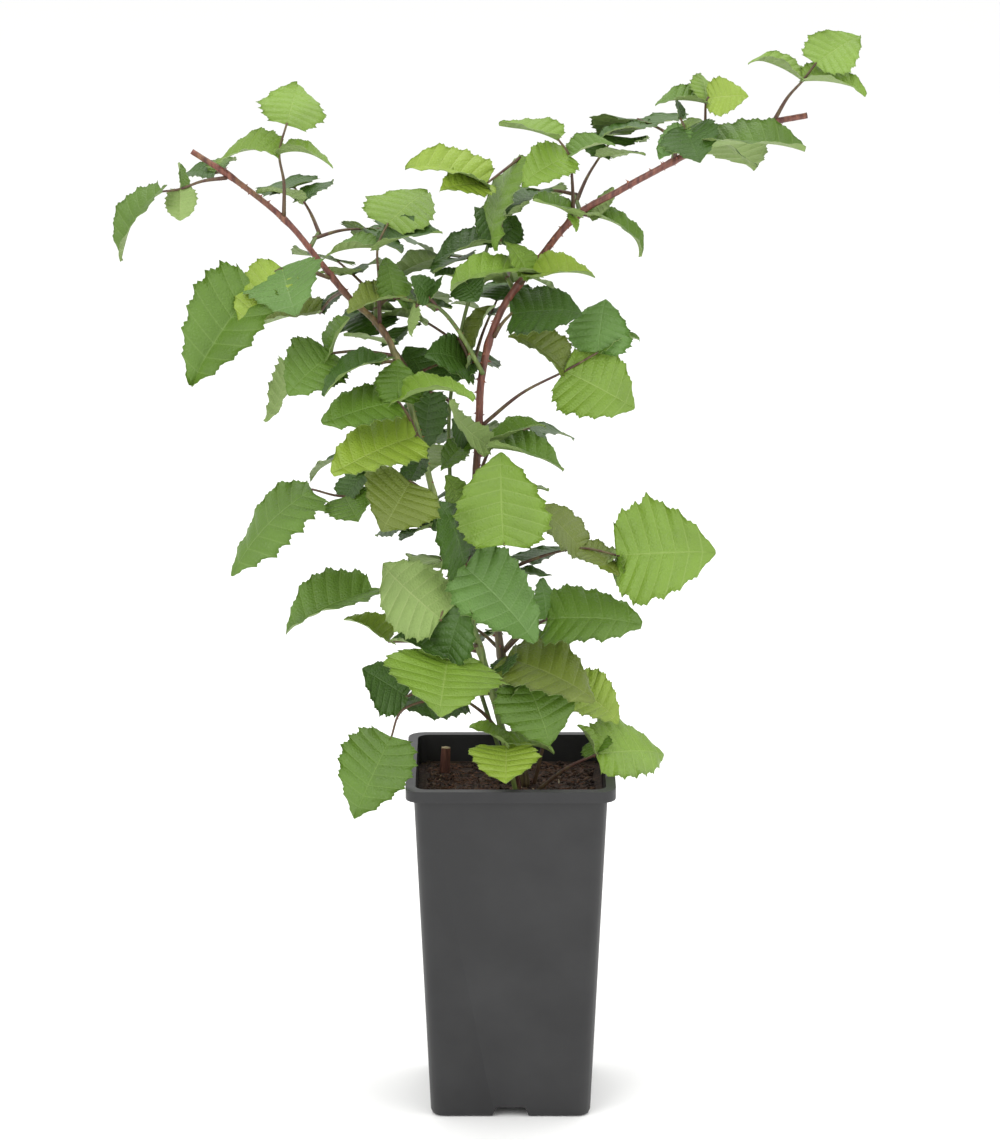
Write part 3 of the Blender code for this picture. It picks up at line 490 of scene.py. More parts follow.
def spray_rows():
    """Spurs and leaves behind the canes, in the same form as the table of leaves."""
    spurs, rows = {}, []
    number = 0
    for stem, shares in SPRAYS:
        for share in shares:
            number += 1
            name = f"spray_{number}"
            dice = random.Random(SPRAY_SEED + number)
            heading = 90 + dice.uniform(-SPUR_TURN, SPUR_TURN)
            spurs[name] = (stem, share, heading, dice.uniform(*SPUR_RISE))
            for k, turn in enumerate(SPRAY_TURNS):
                toward = heading + turn + dice.uniform(-LOOSE, LOOSE)
                rise = dice.uniform(*SPRAY_RISE)
                size = dice.uniform(*SPRAY_LEAFLET)
                # Every leaflet behind the canes takes the dark tone: partly its own deep green and
                # partly painted shade.
                leaflets = [(toward + side * dice.uniform(*SIDE_TURN),
                             rise - SIDE_DROP + dice.uniform(-LOOSE, LOOSE), size * SIDE_LEAFLET,
                             side * dice.uniform(*SIDE_ROLL), "oval", "dark")
                            for side in (-1, 1)]
                last = (toward, rise - dice.uniform(*END_DROP), size, dice.uniform(*END_ROLL),
                        "open", "dark")
                rows.append((f"{name}_{k}", name, SPRAY_SHARES[k],
                             (toward, rise, dice.uniform(*SPRAY_STALK)), leaflets,
                             (toward, rise - RACHIS_DROP, SPRAY_RACHIS), [last]))
    return spurs, rows


# %% Place a stalk
# A leaflet that finds no room tries these leans, then the same again at smaller sizes.
LEANS = (0, 0.1, -0.1, 0.2, -0.2, 0.3, -0.3, 0.45, -0.45, 0.6, -0.6, 0.8, -0.8)
SIZES = (1.0, 0.85, 0.7)

# Stalks start clear of the skin of their cane and end a little inside their leaflets.
STALK_RADII = (1.15, 0.9, 0.7)
STALK_PAST = 1.2
STALK_SLANT = 0.35


def clear_foot(point, tangent, radius, heading, rise):
    """Where a stalk starts so that its end stays one gap off a stem's skin."""
    way = aim(heading, rise)
    cosine = abs(way @ tangent)
    sine = max(math.sqrt(1 - cosine * cosine), STALK_SLANT)
    return point + way * (radius + GAP + STALK_RADII[0] * cosine + CLEAR) / sine


def grow_stalk(row, stems, room, stalks):
    """Adds a leaf's stalk and rachis, and gives its leaflets with the points they grow from."""
    name, parent, share, (heading, rise, length), hub_leaflets, rachis, end_leaflets = row
    node = name if parent in OWN_SOLID or parent == "compost" else (
        parent if parent.startswith("spray") else "shoot_" + parent)
    for lean in LEANS:
        way = leaned(heading, rise, lean)
        if parent == "compost":
            start = np.array([*share, SOIL_TOP + GAP + STALK_RADII[0]])
            hub = start + length * aim(*way)
        else:
            point, tangent, radius = place_on(stems[parent], share)
            hub = point + length * aim(*way)
            start = clear_foot(point, tangent, radius, *way) if parent in OWN_SOLID else point
        run = arched(start, *way, np.linalg.norm(hub - start))
        ends = STALK_RADII[:2]
        end = hub
        if rachis:
            end = hub + rachis[2] * aim(*rachis[:2])
            run = np.vstack([run, end])
            ends = STALK_RADII
        last = run[-1] - run[-2]
        run = np.vstack([run[:-1], run[-1] + STALK_PAST * last / np.linalg.norm(last)])
        shape = tube(run, ends)
        if parent == "compost":
            shape[0][:3, 2] = SOIL_TOP + GAP
        if room.is_clear(node, shape):
            room.add(node, shape)
            stalks.append((node, parent, share, run, ends))
            return [(node, hub, leaflet) for leaflet in hub_leaflets] + \
                   [(node, end, leaflet) for leaflet in end_leaflets]
    return []


# %% Place a leaflet
def grow_leaflet(node, base, leaflet, room, leaflets):
    """Adds a leaflet, leaning it to the front or back until it is clear, or skips it."""
    heading, rise, length, roll, habit, tone = leaflet
    for size in SIZES:
        for lean in LEANS:
            place = (base, *leaned(heading, rise, lean), size * length, roll, habit)
            wide = blade(*place, CLEAR)
            if room.is_clear(node, wide, outer_part(wide)):
                room.add(node, wide, outer_part(wide))
                leaflets.append((node, place, tone))
                return


# %% Grow the plant
STEM_STEP = 24.0
SIDES_OF_CANE = 8
SIDES_OF_SHOOT = 5


def grow():
    """Stems, stalks and leaflets that found room, with the stalks' places on the stems."""
    stems = {name: (spline(points, STEM_STEP), foot, tip)
             for name, (points, foot, tip) in STEMS.items()}
    curve, foot, tip = stems["side"]
    away = curve[1] - curve[0]
    curve[0] += SIDE_START * away / np.linalg.norm(away)
    room = Room()
    for shape in pot_boxes():
        room.add("pot", shape)
    for name, (curve, foot, tip) in stems.items():
        sides = SIDES_OF_CANE if name in OWN_SOLID else SIDES_OF_SHOOT
        room.add(OWN_SOLID.get(name, "shoot_" + name), tube(curve, (foot, tip), sides))
    spurs, extra_rows = spray_rows()
    for name, (parent, share, heading, rise) in spurs.items():
        point, tangent, radius = place_on(stems[parent], share)
        start = clear_foot(point, tangent, radius, heading, rise)
        curve = np.array([start, start + SPUR_LENGTH * aim(heading, rise)])
        stems[name] = (curve, *SPUR_RADII)
        room.add(name, tube(curve, SPUR_RADII, SIDES_OF_SHOOT))
    stalks, held, leaflets = [], [], []
    for row in LEAVES + extra_rows:
        held += grow_stalk(row, stems, room, stalks)
    for node, base, leaflet in held:
        grow_leaflet(node, base, leaflet, room, leaflets)
    return stems, stalks, leaflets


stems, stalks, leaflets = grow()
print("grown:", len(stems), "stems,", len(stalks), "stalks,", len(leaflets), "leaflets")


# %% [markdown]
# ## From arrays to meshes
#
# Nearly every surface below is a grid of points, so one helper turns arrays of points, quads and
# triangles into a mesh. Building faces one by one would take minutes; `foreach_set` copies whole
# arrays, which keeps half a million faces quick. Each mesh keeps its place in its vertices, and its
# object stays at the origin.

# %% Mesh helpers
NO_TRIANGLES = np.zeros((0, 3), int)


def grid_quads(rows, columns, closed=False, flip=False):
    """Quads between neighbouring rows and columns; closed joins the last column to the first."""
    wide = columns if closed else columns - 1
    a = (np.arange(rows - 1)[:, None] * columns + np.arange(wide)[None, :]).ravel()
    b = (np.arange(rows - 1)[:, None] * columns + (np.arange(wide)[None, :] + 1) % columns).ravel()
    quads = np.stack([a, b, b + columns, a + columns], 1)
    return quads[:, ::-1] if flip else quads


def joined(shapes):
    """Joins (points, quads, triangles) shapes into one set of arrays."""
    offsets = np.cumsum([0] + [len(points) for points, _, _ in shapes])
    points = np.concatenate([points for points, _, _ in shapes])
    quads = np.concatenate([quads + offset for (_, quads, _), offset in zip(shapes, offsets)])
    tris = np.concatenate([tris + offset for (_, _, tris), offset in zip(shapes, offsets)])
    return points, quads, tris


def capped(points, rings, sides, first, last):
    """Closes a run of rings with a fan of triangles at each end, to a first and a last point."""
    near = np.arange(sides)
    far = (rings - 1) * sides + near
    tris = np.vstack([np.stack([np.roll(near, -1), near, np.full(sides, len(points))], 1),
                      np.stack([far, np.roll(far, -1), np.full(sides, len(points) + 1)], 1)])
    return np.vstack([points, first, last]), grid_quads(rings, sides, closed=True), tris


def cut_slots(shape, sides):
    """Slots of a capped run: the cut face at its last end takes the second material."""
    return np.concatenate([np.zeros(len(shape[1]) + sides), np.ones(sides)])


def repeated(pattern, count, step):
    """The same faces for a number of copies whose points follow each other, step points each."""
    faces = pattern[None] + (np.arange(count) * step)[:, None, None]
    return faces.reshape(-1, pattern.shape[1])


def add_piece(name, shape, materials, slots=None, uv=None, smooth=True):
    """Object from (points, quads, triangles) in millimetres; slots are given face by face."""
    points, quads, tris = shape
    loops = np.concatenate([quads.ravel(), tris.ravel()])
    totals = np.concatenate([np.full(len(quads), 4), np.full(len(tris), 3)])
    mesh = bpy.data.meshes.new(name)
    mesh.vertices.add(len(points))
    mesh.vertices.foreach_set("co", (np.asarray(points) * MM).astype(np.float32).ravel())
    mesh.loops.add(len(loops))
    mesh.loops.foreach_set("vertex_index", loops.astype(np.int32))
    mesh.polygons.add(len(totals))
    mesh.polygons.foreach_set("loop_start", (np.cumsum(totals) - totals).astype(np.int32))
    for made in materials:
        mesh.materials.append(made)
    if slots is not None:
        mesh.polygons.foreach_set("material_index", slots.astype(np.int32))
    if uv is not None:
        layer = mesh.uv_layers.new(name="leaf")
        layer.data.foreach_set("uv", uv[loops].astype(np.float32).ravel())
    mesh.update(calc_edges=True)
    mesh.validate()
    if smooth:
        mesh.shade_smooth()
    piece = bpy.data.objects.new(name, mesh)
    bpy.context.scene.collection.objects.link(piece)
    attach(piece, "root")
    print(name, len(points), "points,", 2 * len(quads) + len(tris), "triangles")
    return piece


# %% [markdown]
# ## Materials
#
# A leaf is mid green with paler veins, blotches of lighter and darker green, and a fine net of
# veinlets that makes it look crinkled. A photograph of a leaf could be stuck on, but every leaflet
# would then be the same. So node groups hold the effects that several materials share: the pattern
# of veins, which follows each leaflet's own map, and slow patches of colour. The shaders stay in
# the materials.

# %% Node helpers
def new_group(name, inputs, outputs):
    """Shader node group with named float, colour or vector sockets."""
    group = bpy.data.node_groups.new(name, "ShaderNodeTree")
    for title, kind, value in inputs:
        socket = group.interface.new_socket(title, in_out="INPUT", socket_type="NodeSocket" + kind)
        if value is not None:
            socket.default_value = value
    for title, kind in outputs:
        group.interface.new_socket(title, in_out="OUTPUT", socket_type="NodeSocket" + kind)
    return group, group.nodes.new("NodeGroupInput"), group.nodes.new("NodeGroupOutput")


def math_node(tree, operation, first, second=None, clamp=False):
    """Math node fed by sockets or numbers; gives its output socket."""
    made = tree.nodes.new("ShaderNodeMath")
    made.operation = operation
    made.use_clamp = clamp
    for k, value in enumerate((first, second)):
        if value is None:
            continue
        if isinstance(value, (int, float)):
            made.inputs[k].default_value = value
        else:
            tree.links.new(value, made.inputs[k])
    return made.outputs[0]


def mix_color(tree, share, first, second):
    """Mix of two colours, given as sockets or values, by a share; gives the colour socket."""
    made = tree.nodes.new("ShaderNodeMix")
    made.data_type = "RGBA"
    for k, value in ((0, share), (6, first), (7, second)):
        if isinstance(value, (int, float)):
            made.inputs[k].default_value = value
        elif isinstance(value, tuple):
            made.inputs[k].default_value = (*value, 1)
        else:
            tree.links.new(value, made.inputs[k])
    return made.outputs[2]


def noise(tree, scale, detail=3.0, source=None):
    """Noise value on Object coordinates, or on a given vector socket."""
    made = tree.nodes.new("ShaderNodeTexNoise")
    made.inputs["Scale"].default_value = scale
    made.inputs["Detail"].default_value = detail
    if source is None:
        source = tree.nodes.new("ShaderNodeTexCoord").outputs["Object"]
    tree.links.new(source, made.inputs["Vector"])
    return made.outputs["Fac"]


def spread(tree, value, low, high):
    """Stretches a value so that low becomes 0 and high becomes 1, clamped."""
    made = tree.nodes.new("ShaderNodeMapRange")
    made.inputs["From Min"].default_value = low
    made.inputs["From Max"].default_value = high
    tree.links.new(value, made.inputs["Value"])
    return made.outputs[0]


def bump(tree, height, strength, distance):
    """Bump normal from a height socket."""
    made = tree.nodes.new("ShaderNodeBump")
    made.inputs["Strength"].default_value = strength
    made.inputs["Distance"].default_value = distance
    tree.links.new(height, made.inputs["Height"])
    return made.outputs["Normal"]


def new_material(name, roughness):
    """Material with a Principled shader; gives the material, its tree and the shader."""
    made = bpy.data.materials.new(name)
    made.use_nodes = True
    shader = made.node_tree.nodes["Principled BSDF"]
    shader.inputs["Roughness"].default_value = roughness
    return made, made.node_tree, shader


# %% Group: veins of a leaflet
# X of the leaflet's map runs from its base to its tip, and Y from edge to edge.
VEIN_PAIRS = 8
LATERAL_SHARE = 0.6
MIDRIB_WIDTH = 0.015
NET_SCALE = 420
NET_EDGE = 0.35
VEIN_SINK = 1.4
veins, entry, leave = new_group(
    "leaf_veins", [("Map", "Vector", None), ("Lateral width", "Float", 0.08)],
    [("Veins", "Float"), ("Height", "Float")])
split = veins.nodes.new("ShaderNodeSeparateXYZ")
veins.links.new(entry.outputs["Map"], split.inputs[0])
phase = math_node(veins, "FRACT", math_node(veins, "MULTIPLY", split.outputs["X"], VEIN_PAIRS))
nearest = math_node(veins, "MINIMUM", phase, math_node(veins, "SUBTRACT", 1.0, phase))
lateral = math_node(veins, "SUBTRACT", 1.0,
                    math_node(veins, "DIVIDE", nearest, entry.outputs["Lateral width"]), clamp=True)
across = math_node(veins, "ABSOLUTE", math_node(veins, "SUBTRACT", split.outputs["Y"], 0.5))
midrib = math_node(veins, "SUBTRACT", 1.0, math_node(veins, "DIVIDE", across, MIDRIB_WIDTH), clamp=True)
both = math_node(veins, "MAXIMUM", math_node(veins, "MULTIPLY", lateral, LATERAL_SHARE), midrib)
net = veins.nodes.new("ShaderNodeTexVoronoi")
net.feature = "DISTANCE_TO_EDGE"
net.inputs["Scale"].default_value = NET_SCALE
veins.links.new(veins.nodes.new("ShaderNodeTexCoord").outputs["Object"], net.inputs["Vector"])
cells = spread(veins, net.outputs["Distance"], 0.0, NET_EDGE)
height = math_node(veins, "SUBTRACT", cells, math_node(veins, "MULTIPLY", both, VEIN_SINK))
veins.links.new(both, leave.inputs["Veins"])
veins.links.new(height, leave.inputs["Height"])
print("group", veins.name, "with", VEIN_PAIRS, "pairs of veins")

# %% Group: slow patches of colour
PATCH_SCALE = 28.0
PATCH_SPREAD = 0.16
patches, entry, leave = new_group(
    "colour_patches", [("Colour", "Color", (0.2, 0.3, 0.1, 1)), ("Scale", "Float", PATCH_SCALE),
                       ("Spread", "Float", PATCH_SPREAD)], [("Colour", "Color")])
slow = patches.nodes.new("ShaderNodeTexNoise")
slow.inputs["Detail"].default_value = 4.0
patches.links.new(entry.outputs["Scale"], slow.inputs["Scale"])
patches.links.new(patches.nodes.new("ShaderNodeTexCoord").outputs["Object"], slow.inputs["Vector"])
signed = math_node(patches, "MULTIPLY", math_node(patches, "SUBTRACT", slow.outputs["Fac"], 0.5), 4.0)
change = math_node(patches, "ADD", 1.0,
                   math_node(patches, "MULTIPLY", signed, entry.outputs["Spread"]))
brighter = patches.nodes.new("ShaderNodeVectorMath")
brighter.operation = "SCALE"
patches.links.new(entry.outputs["Colour"], brighter.inputs[0])
patches.links.new(change, brighter.inputs["Scale"])
patches.links.new(brighter.outputs[0], leave.inputs["Colour"])
print("group", patches.name)


def patchy(tree, color):
    """Places the patches group over a plain colour; gives its colour socket."""
    made = tree.nodes.new("ShaderNodeGroup")
    made.node_tree = patches
    made.inputs["Colour"].default_value = (*color, 1)
    made.inputs["Scale"].default_value = PATCH_SCALE
    made.inputs["Spread"].default_value = PATCH_SPREAD
    return made.outputs["Colour"]


# %% Leaf materials
# Each tone is one plain green and the paler green of its veins. Leaflets are dealt a tone by their
# row: young leaves are lime. The light tone is partly young green and partly painted light on lit
# leaflets. The dark and olive tones are partly the deeper green of older leaves and partly painted
# shade on leaflets that lie low, behind or under others. The sage tone is partly the bluish green of
# older leaves and partly a painted sheen.
TONES = {
    "lime": ((0.225, 0.33, 0.030), (0.40, 0.48, 0.13)),
    "light": ((0.160, 0.27, 0.026), (0.31, 0.43, 0.11)),
    "mid": ((0.092, 0.180, 0.014), (0.20, 0.31, 0.07)),
    "dark": ((0.042, 0.100, 0.009), (0.10, 0.19, 0.035)),
    "olive": ((0.128, 0.175, 0.018), (0.25, 0.31, 0.08)),
    "sage": ((0.098, 0.200, 0.035), (0.22, 0.34, 0.12)),
    "under": ((0.128, 0.225, 0.024), (0.26, 0.37, 0.10)),
}
UNDERSIDE = ((0.215, 0.31, 0.085), (0.36, 0.44, 0.17))
UPPER_ROUGH = 0.46
UNDER_ROUGH = 0.62
VEIN_PALENESS = 0.5
LEAF_RELIEF = (0.45, 0.0005)


def leaf_material(name, color, vein_color, roughness, raised):
    """Patchy green with paler veins and a crinkled skin; raised turns the relief inside out."""
    made, tree, shader = new_material(name, roughness)
    mapped = tree.nodes.new("ShaderNodeUVMap")
    mapped.uv_map = "leaf"
    pattern = tree.nodes.new("ShaderNodeGroup")
    pattern.node_tree = veins
    tree.links.new(mapped.outputs["UV"], pattern.inputs["Map"])
    green = patchy(tree, color)
    share = math_node(tree, "MULTIPLY", pattern.outputs["Veins"], VEIN_PALENESS)
    tree.links.new(mix_color(tree, share, green, vein_color), shader.inputs["Base Color"])
    turned = math_node(tree, "MULTIPLY", pattern.outputs["Height"], -1.0 if raised else 1.0)
    tree.links.new(bump(tree, turned, *LEAF_RELIEF), shader.inputs["Normal"])
    return made


greens = {tone: leaf_material("leaf_" + tone, *colors, UPPER_ROUGH, False)
          for tone, colors in TONES.items()}
underside = leaf_material("leaf_underside", *UNDERSIDE, UNDER_ROUGH, True)
print("leaf materials:", sorted(greens))

# %% [markdown]
# ## Leaflets
#
# A leaflet is heart-shaped at its base and drawn out at its tip. Its edge has a big tooth at the
# end of each side vein and small teeth between, and the skin bulges up between the veins, which
# gives the pleats that catch the light. A picture of a leaf on a flat card would show none of this
# from the side, so each leaflet is a mesh with its own outline. One grid holds all of it: rows run
# from edge to edge as the side veins do, and columns run from the base to the tip. Two copies of
# the grid, a fraction of a millimetre apart, close to a thin shell, so the underside can have its
# own pale finish.

# %% Sizes of a leaflet's surface
# The grid, then the teeth, the lobe, the pleats, the waves and the curl as shares of the length, and
# the thickness in millimetres.
SMALL_TEETH = 3
TOOTH_STEPS = 3
LEAF_ROWS = VEIN_PAIRS * SMALL_TEETH * TOOTH_STEPS + 1
LEAF_COLUMNS = np.array([-1, -0.8, -0.6, -0.4, -0.2, -0.06, 0, 0.06, 0.2, 0.4, 0.6, 0.8, 1])
LAST_ROW = 0.996
BIG_TOOTH = 0.060
SMALL_TOOTH = 0.022
TOOTH_SINK = 0.03
TOOTH_BACK = 0.25
TEETH_START = 0.08
TEETH_END = 0.12
LOBE = (0.02, 0.08)
LOBE_PLACE = 0.47
LOBE_SHIFT = 0.04
LOBE_REACH = 0.10
UNEVEN = 0.05
VEIN_SWEEP = 0.05
PLEAT = 0.030
PLEAT_RISE = 0.6
PLEAT_EDGE = 0.45
WAVE = 0.042
WAVES = 1.3
RIPPLE = 0.012
RIPPLES = 4
CURL = (-0.5, 1.0)
CURL_START = 0.72
CURL_DEPTH = 1.2
SHEET = 0.22
RIB_DEPTH = 0.55
RIB_WIDTH = 0.07
RIB_TAPER = 0.8


# %% Edge and height of a leaflet
def tooth(q, count):
    """Forward-pointing teeth: each climbs slowly to a vein's end and drops back quickly."""
    turn = (q * count) % 1.0
    return np.where(turn > TOOTH_BACK, (turn - TOOTH_BACK) / (1 - TOOTH_BACK), 1 - turn / TOOTH_BACK)


def toothed_edge(q, side, habit, dice):
    """Edge of a leaflet: the smooth outline pushed away from the midrib by lobe and teeth."""
    uneven = 1 + side * dice.uniform(-UNEVEN, UNEVEN)
    along, half = half_outline(q, HABITS[habit][2])
    lobe = dice.uniform(*LOBE) if habit in ("open", "broad") else 0.0
    near_lobe = np.clip(1 - np.abs(q - LOBE_PLACE - LOBE_SHIFT * side) / LOBE_REACH, 0, 1)
    fade = np.clip(q / TEETH_START, 0, 1) * np.clip((1 - q) / TEETH_END, 0, 1)**0.5
    teeth = (fade * (BIG_TOOTH * tooth(q, VEIN_PAIRS)
                     + SMALL_TOOTH * tooth(q, VEIN_PAIRS * SMALL_TEETH) - TOOTH_SINK)
             + lobe * near_lobe)
    rib = q**RIB_SPREAD
    push = 1 + teeth / (np.hypot(along - rib, half) + 1e-6)
    return rib, rib + (along - rib) * push, half * push * uneven


def leaflet_height(q, v, dice):
    """Height over the flat leaflet, as a share of its length.

    A half sine between each two veins, plus a slow wave and a finer ripple that grow towards the
    edge, minus a curl of the tip that grows with the square of the distance past its start.
    """
    share = np.abs(v)
    pleats = np.abs(np.sin(math.pi * q * VEIN_PAIRS)) * share**PLEAT_RISE * (1 - PLEAT_EDGE * share)
    right, left, along = [dice.uniform(0, 2 * math.pi) for _ in range(3)]
    wave = np.sin(2 * math.pi * WAVES * q + np.where(v < 0, right, left)) * share**2
    curl = dice.uniform(*CURL) * np.clip(q - CURL_START, 0, 1)**2
    ripple = np.sin(2 * math.pi * RIPPLES * q + along) * share**3
    return PLEAT * pleats + WAVE * wave + RIPPLE * ripple - CURL_DEPTH * curl


# %% Shell of a leaflet
def leaflet_shell(place_values, dice):
    """Upper and lower grid of one leaflet, with its map.

    Rows take q from the base to the tip and columns take v from edge to edge. The flat point is
    rib(q) + (edge(q) - rib(q)) |v|, swept a little forwards between them as side veins are. The
    lower grid lies one sheet below the upper one, and further below it along the midrib.
    """
    base, heading, rise, length, roll, habit = place_values
    q = np.linspace(0, LAST_ROW, LEAF_ROWS)[:, None]
    v = LEAF_COLUMNS[None, :]
    side, share = np.sign(v), np.abs(v)
    rib, edge_x, edge_y = toothed_edge(q, side, habit, dice)
    u = rib + (edge_x - rib) * share + VEIN_SWEEP * share * (1 - share) * (1 - q)
    upper = blade_place(base, heading, rise, length, roll, habit)(
        u, side * edge_y * share, length * leaflet_height(q, v, dice))
    normal = np.cross(np.gradient(upper, axis=0), np.gradient(upper, axis=1))
    normal /= np.linalg.norm(normal, axis=2, keepdims=True) + 1e-9
    ridge = RIB_DEPTH * np.exp(-(v / RIB_WIDTH)**2) * (1 - RIB_TAPER * q)
    lower = upper - normal * (SHEET + ridge)[..., None]
    uv = np.stack(np.broadcast_arrays(q, 0.5 + 0.5 * v), -1)
    return upper, lower, uv


# %% Faces of a shell
# They are the upper grid, the lower grid and the rim that joins their edges.
rows, columns = LEAF_ROWS, len(LEAF_COLUMNS)
upper_quads = grid_quads(rows, columns, flip=True)
lower_quads = grid_quads(rows, columns) + rows * columns
loop = np.concatenate([np.arange(columns), np.arange(1, rows) * columns + columns - 1,
                       (rows - 1) * columns + np.arange(columns - 2, -1, -1),
                       np.arange(rows - 2, 0, -1) * columns])
following = np.roll(loop, -1)
rim_quads = np.stack([following, loop, loop + rows * columns, following + rows * columns], 1)
shell_quads = np.concatenate([upper_quads, lower_quads, rim_quads])
shell_slots = np.concatenate([np.zeros(len(upper_quads)), np.ones(len(lower_quads) + len(rim_quads))])
print("a leaflet shell has", 2 * len(shell_quads), "triangles")

# %% Leaves, joined by tone
PIECE_LIMIT = 50
LEAF_SEED = 7
grown_leaves = []
for tone in TONES:
    chosen = [(k, place) for k, (node, place, its_tone) in enumerate(leaflets) if its_tone == tone]
    for start in range(0, len(chosen), PIECE_LIMIT):
        batch = chosen[start:start + PIECE_LIMIT]
        points, uvs, quads = [], [], []
        for offset, (number, place) in enumerate(batch):
            upper, lower, uv = leaflet_shell(place, random.Random(LEAF_SEED + number))
            points += [upper.reshape(-1, 3), lower.reshape(-1, 3)]
            uvs += [uv.reshape(-1, 2)] * 2
            quads.append(shell_quads + offset * 2 * rows * columns)
        shape = np.concatenate(points), np.concatenate(quads), NO_TRIANGLES
        piece = add_piece(f"leaves_{tone}_{start // PIECE_LIMIT + 1}", shape,
                          [greens[tone], underside], np.tile(shell_slots, len(batch)),
                          np.concatenate(uvs))
        grown_leaves.append(piece)

# %% [markdown]
# ## Canes, shoots and stalks
#
# A cane is a long tapering rod with shallow ribs, a swelling at every leaf and slender prickles.
# A plain cylinder would look like wire, and sculpted bark would have to be made again for every
# cane. So one surface makes canes, shoots and leaf stalks: a circle carried along the centre line,
# its radius a function of the distance along and the turn around. The skin of a cane turns from
# green or brown at its foot to red-brown near its tip.

# %% Bark surface
BARK_SIDE = (0.12, 0.95, 0.25)


def smooth_tube(curve, radii, sides, relief=None):
    """Ring surface: the point at distance s and turn t is the centre plus radius(s, t) outwards."""
    tangents = np.gradient(curve, axis=0)
    tangents /= np.linalg.norm(tangents, axis=1, keepdims=True)
    across = np.cross(tangents, BARK_SIDE)
    across /= np.linalg.norm(across, axis=1, keepdims=True)
    other = np.cross(tangents, across)
    turns = np.arange(sides) * 2 * math.pi / sides
    steps = np.linalg.norm(np.diff(curve, axis=0), axis=1)
    distance = np.concatenate([[0], np.cumsum(steps)])
    radius = np.interp(distance / distance[-1], np.linspace(0, 1, len(radii)), radii)[:, None]
    if relief:
        radius = radius * relief(distance[:, None], turns[None, :])
    radius = np.broadcast_to(radius, (len(curve), sides))[..., None]
    ring = (np.cos(turns)[None, :, None] * across[:, None] + np.sin(turns)[None, :, None]
            * other[:, None])
    points = (curve[:, None] + radius * ring).reshape(-1, 3)
    return capped(points, len(curve), sides, curve[0], curve[-1])


# %% Cane and stalk materials
BARK_SQUASH = 0.16
CANE_SQUASH = 0.14
FINE_TO_SLOW = 6
BARK_RELIEF = (0.4, 0.0004)
CANE_RELIEF = (0.5, 0.0005)
CANE_STREAKS = 420
CANE_BLOTCHES = 55


def streaks(tree, scale, squash=BARK_SQUASH):
    """Noise drawn out along Z, as fibres are."""
    mapping = tree.nodes.new("ShaderNodeMapping")
    mapping.inputs["Scale"].default_value = (1.0, 1.0, squash)
    tree.links.new(tree.nodes.new("ShaderNodeTexCoord").outputs["Object"],
                   mapping.inputs["Vector"])
    return noise(tree, scale, 4.0, mapping.outputs["Vector"])


def bark_material(name, colors, roughness=0.5, scale=60.0):
    """Stem skin: two colours mixed where long streaks and slow blotches meet."""
    made, tree, shader = new_material(name, roughness)
    fine = streaks(tree, FINE_TO_SLOW * scale)
    share = math_node(tree, "MULTIPLY", spread(tree, fine, 0.35, 0.65),
                      spread(tree, noise(tree, scale, 2.0), 0.3, 0.7))
    tree.links.new(mix_color(tree, share, *colors), shader.inputs["Base Color"])
    tree.links.new(bump(tree, fine, *BARK_RELIEF), shader.inputs["Normal"])
    return made


def ageing_material(name, low_z, high_z, low_colors, high_colors):
    """Cane skin that turns from one pair of colours at its foot to another near its tip."""
    made, tree, shader = new_material(name, 0.45)
    parts = tree.nodes.new("ShaderNodeSeparateXYZ")
    tree.links.new(tree.nodes.new("ShaderNodeTexCoord").outputs["Object"], parts.inputs[0])
    fine = streaks(tree, CANE_STREAKS, CANE_SQUASH)
    uneven = math_node(tree, "SUBTRACT", noise(tree, CANE_BLOTCHES, 3.0), 0.5)
    rise = math_node(tree, "ADD", spread(tree, parts.outputs["Z"], low_z, high_z),
                     math_node(tree, "MULTIPLY", uneven, 1.1), clamp=True)
    share = spread(tree, fine, 0.35, 0.68)
    low, high = [mix_color(tree, share, *pair) for pair in (low_colors, high_colors)]
    tree.links.new(mix_color(tree, rise, low, high), shader.inputs["Base Color"])
    tree.links.new(bump(tree, fine, *CANE_RELIEF), shader.inputs["Normal"])
    return made


GREEN_BARK = ((0.10, 0.16, 0.035), (0.24, 0.33, 0.09))
RED_BARK = ((0.085, 0.022, 0.018), (0.24, 0.085, 0.055))
BROWN_BARK = ((0.055, 0.035, 0.02), (0.16, 0.13, 0.055))
cane_left_bark = ageing_material("bark_left", 0.44, 0.56, GREEN_BARK, RED_BARK)
cane_right_bark = ageing_material("bark_right", 0.33, 0.47, BROWN_BARK, RED_BARK)
shoot_bark = bark_material("shoot_bark", ((0.09, 0.13, 0.03), (0.22, 0.30, 0.08)))
stalk_bark = bark_material("stalk_bark", ((0.075, 0.028, 0.022), (0.17, 0.15, 0.05)))
prickle_skin = bark_material("prickle_skin", ((0.20, 0.05, 0.035), (0.36, 0.16, 0.08)))
pith = bark_material("cut_pith", ((0.28, 0.22, 0.11), (0.50, 0.44, 0.26)), 0.8, 200.0)

# %% Canes
BARK_STEP = 2.0
CANE_SIDES = 24
NODE_SWELL = 0.22
NODE_REACH = 4.0
# Amount, waves round the cane and turn for each millimetre along it.
RIBS = (0.035, 5, 0.03)
BENDS = (0.03, 1, 0.21)
KNOBS = (0.02, 3, 0.93)


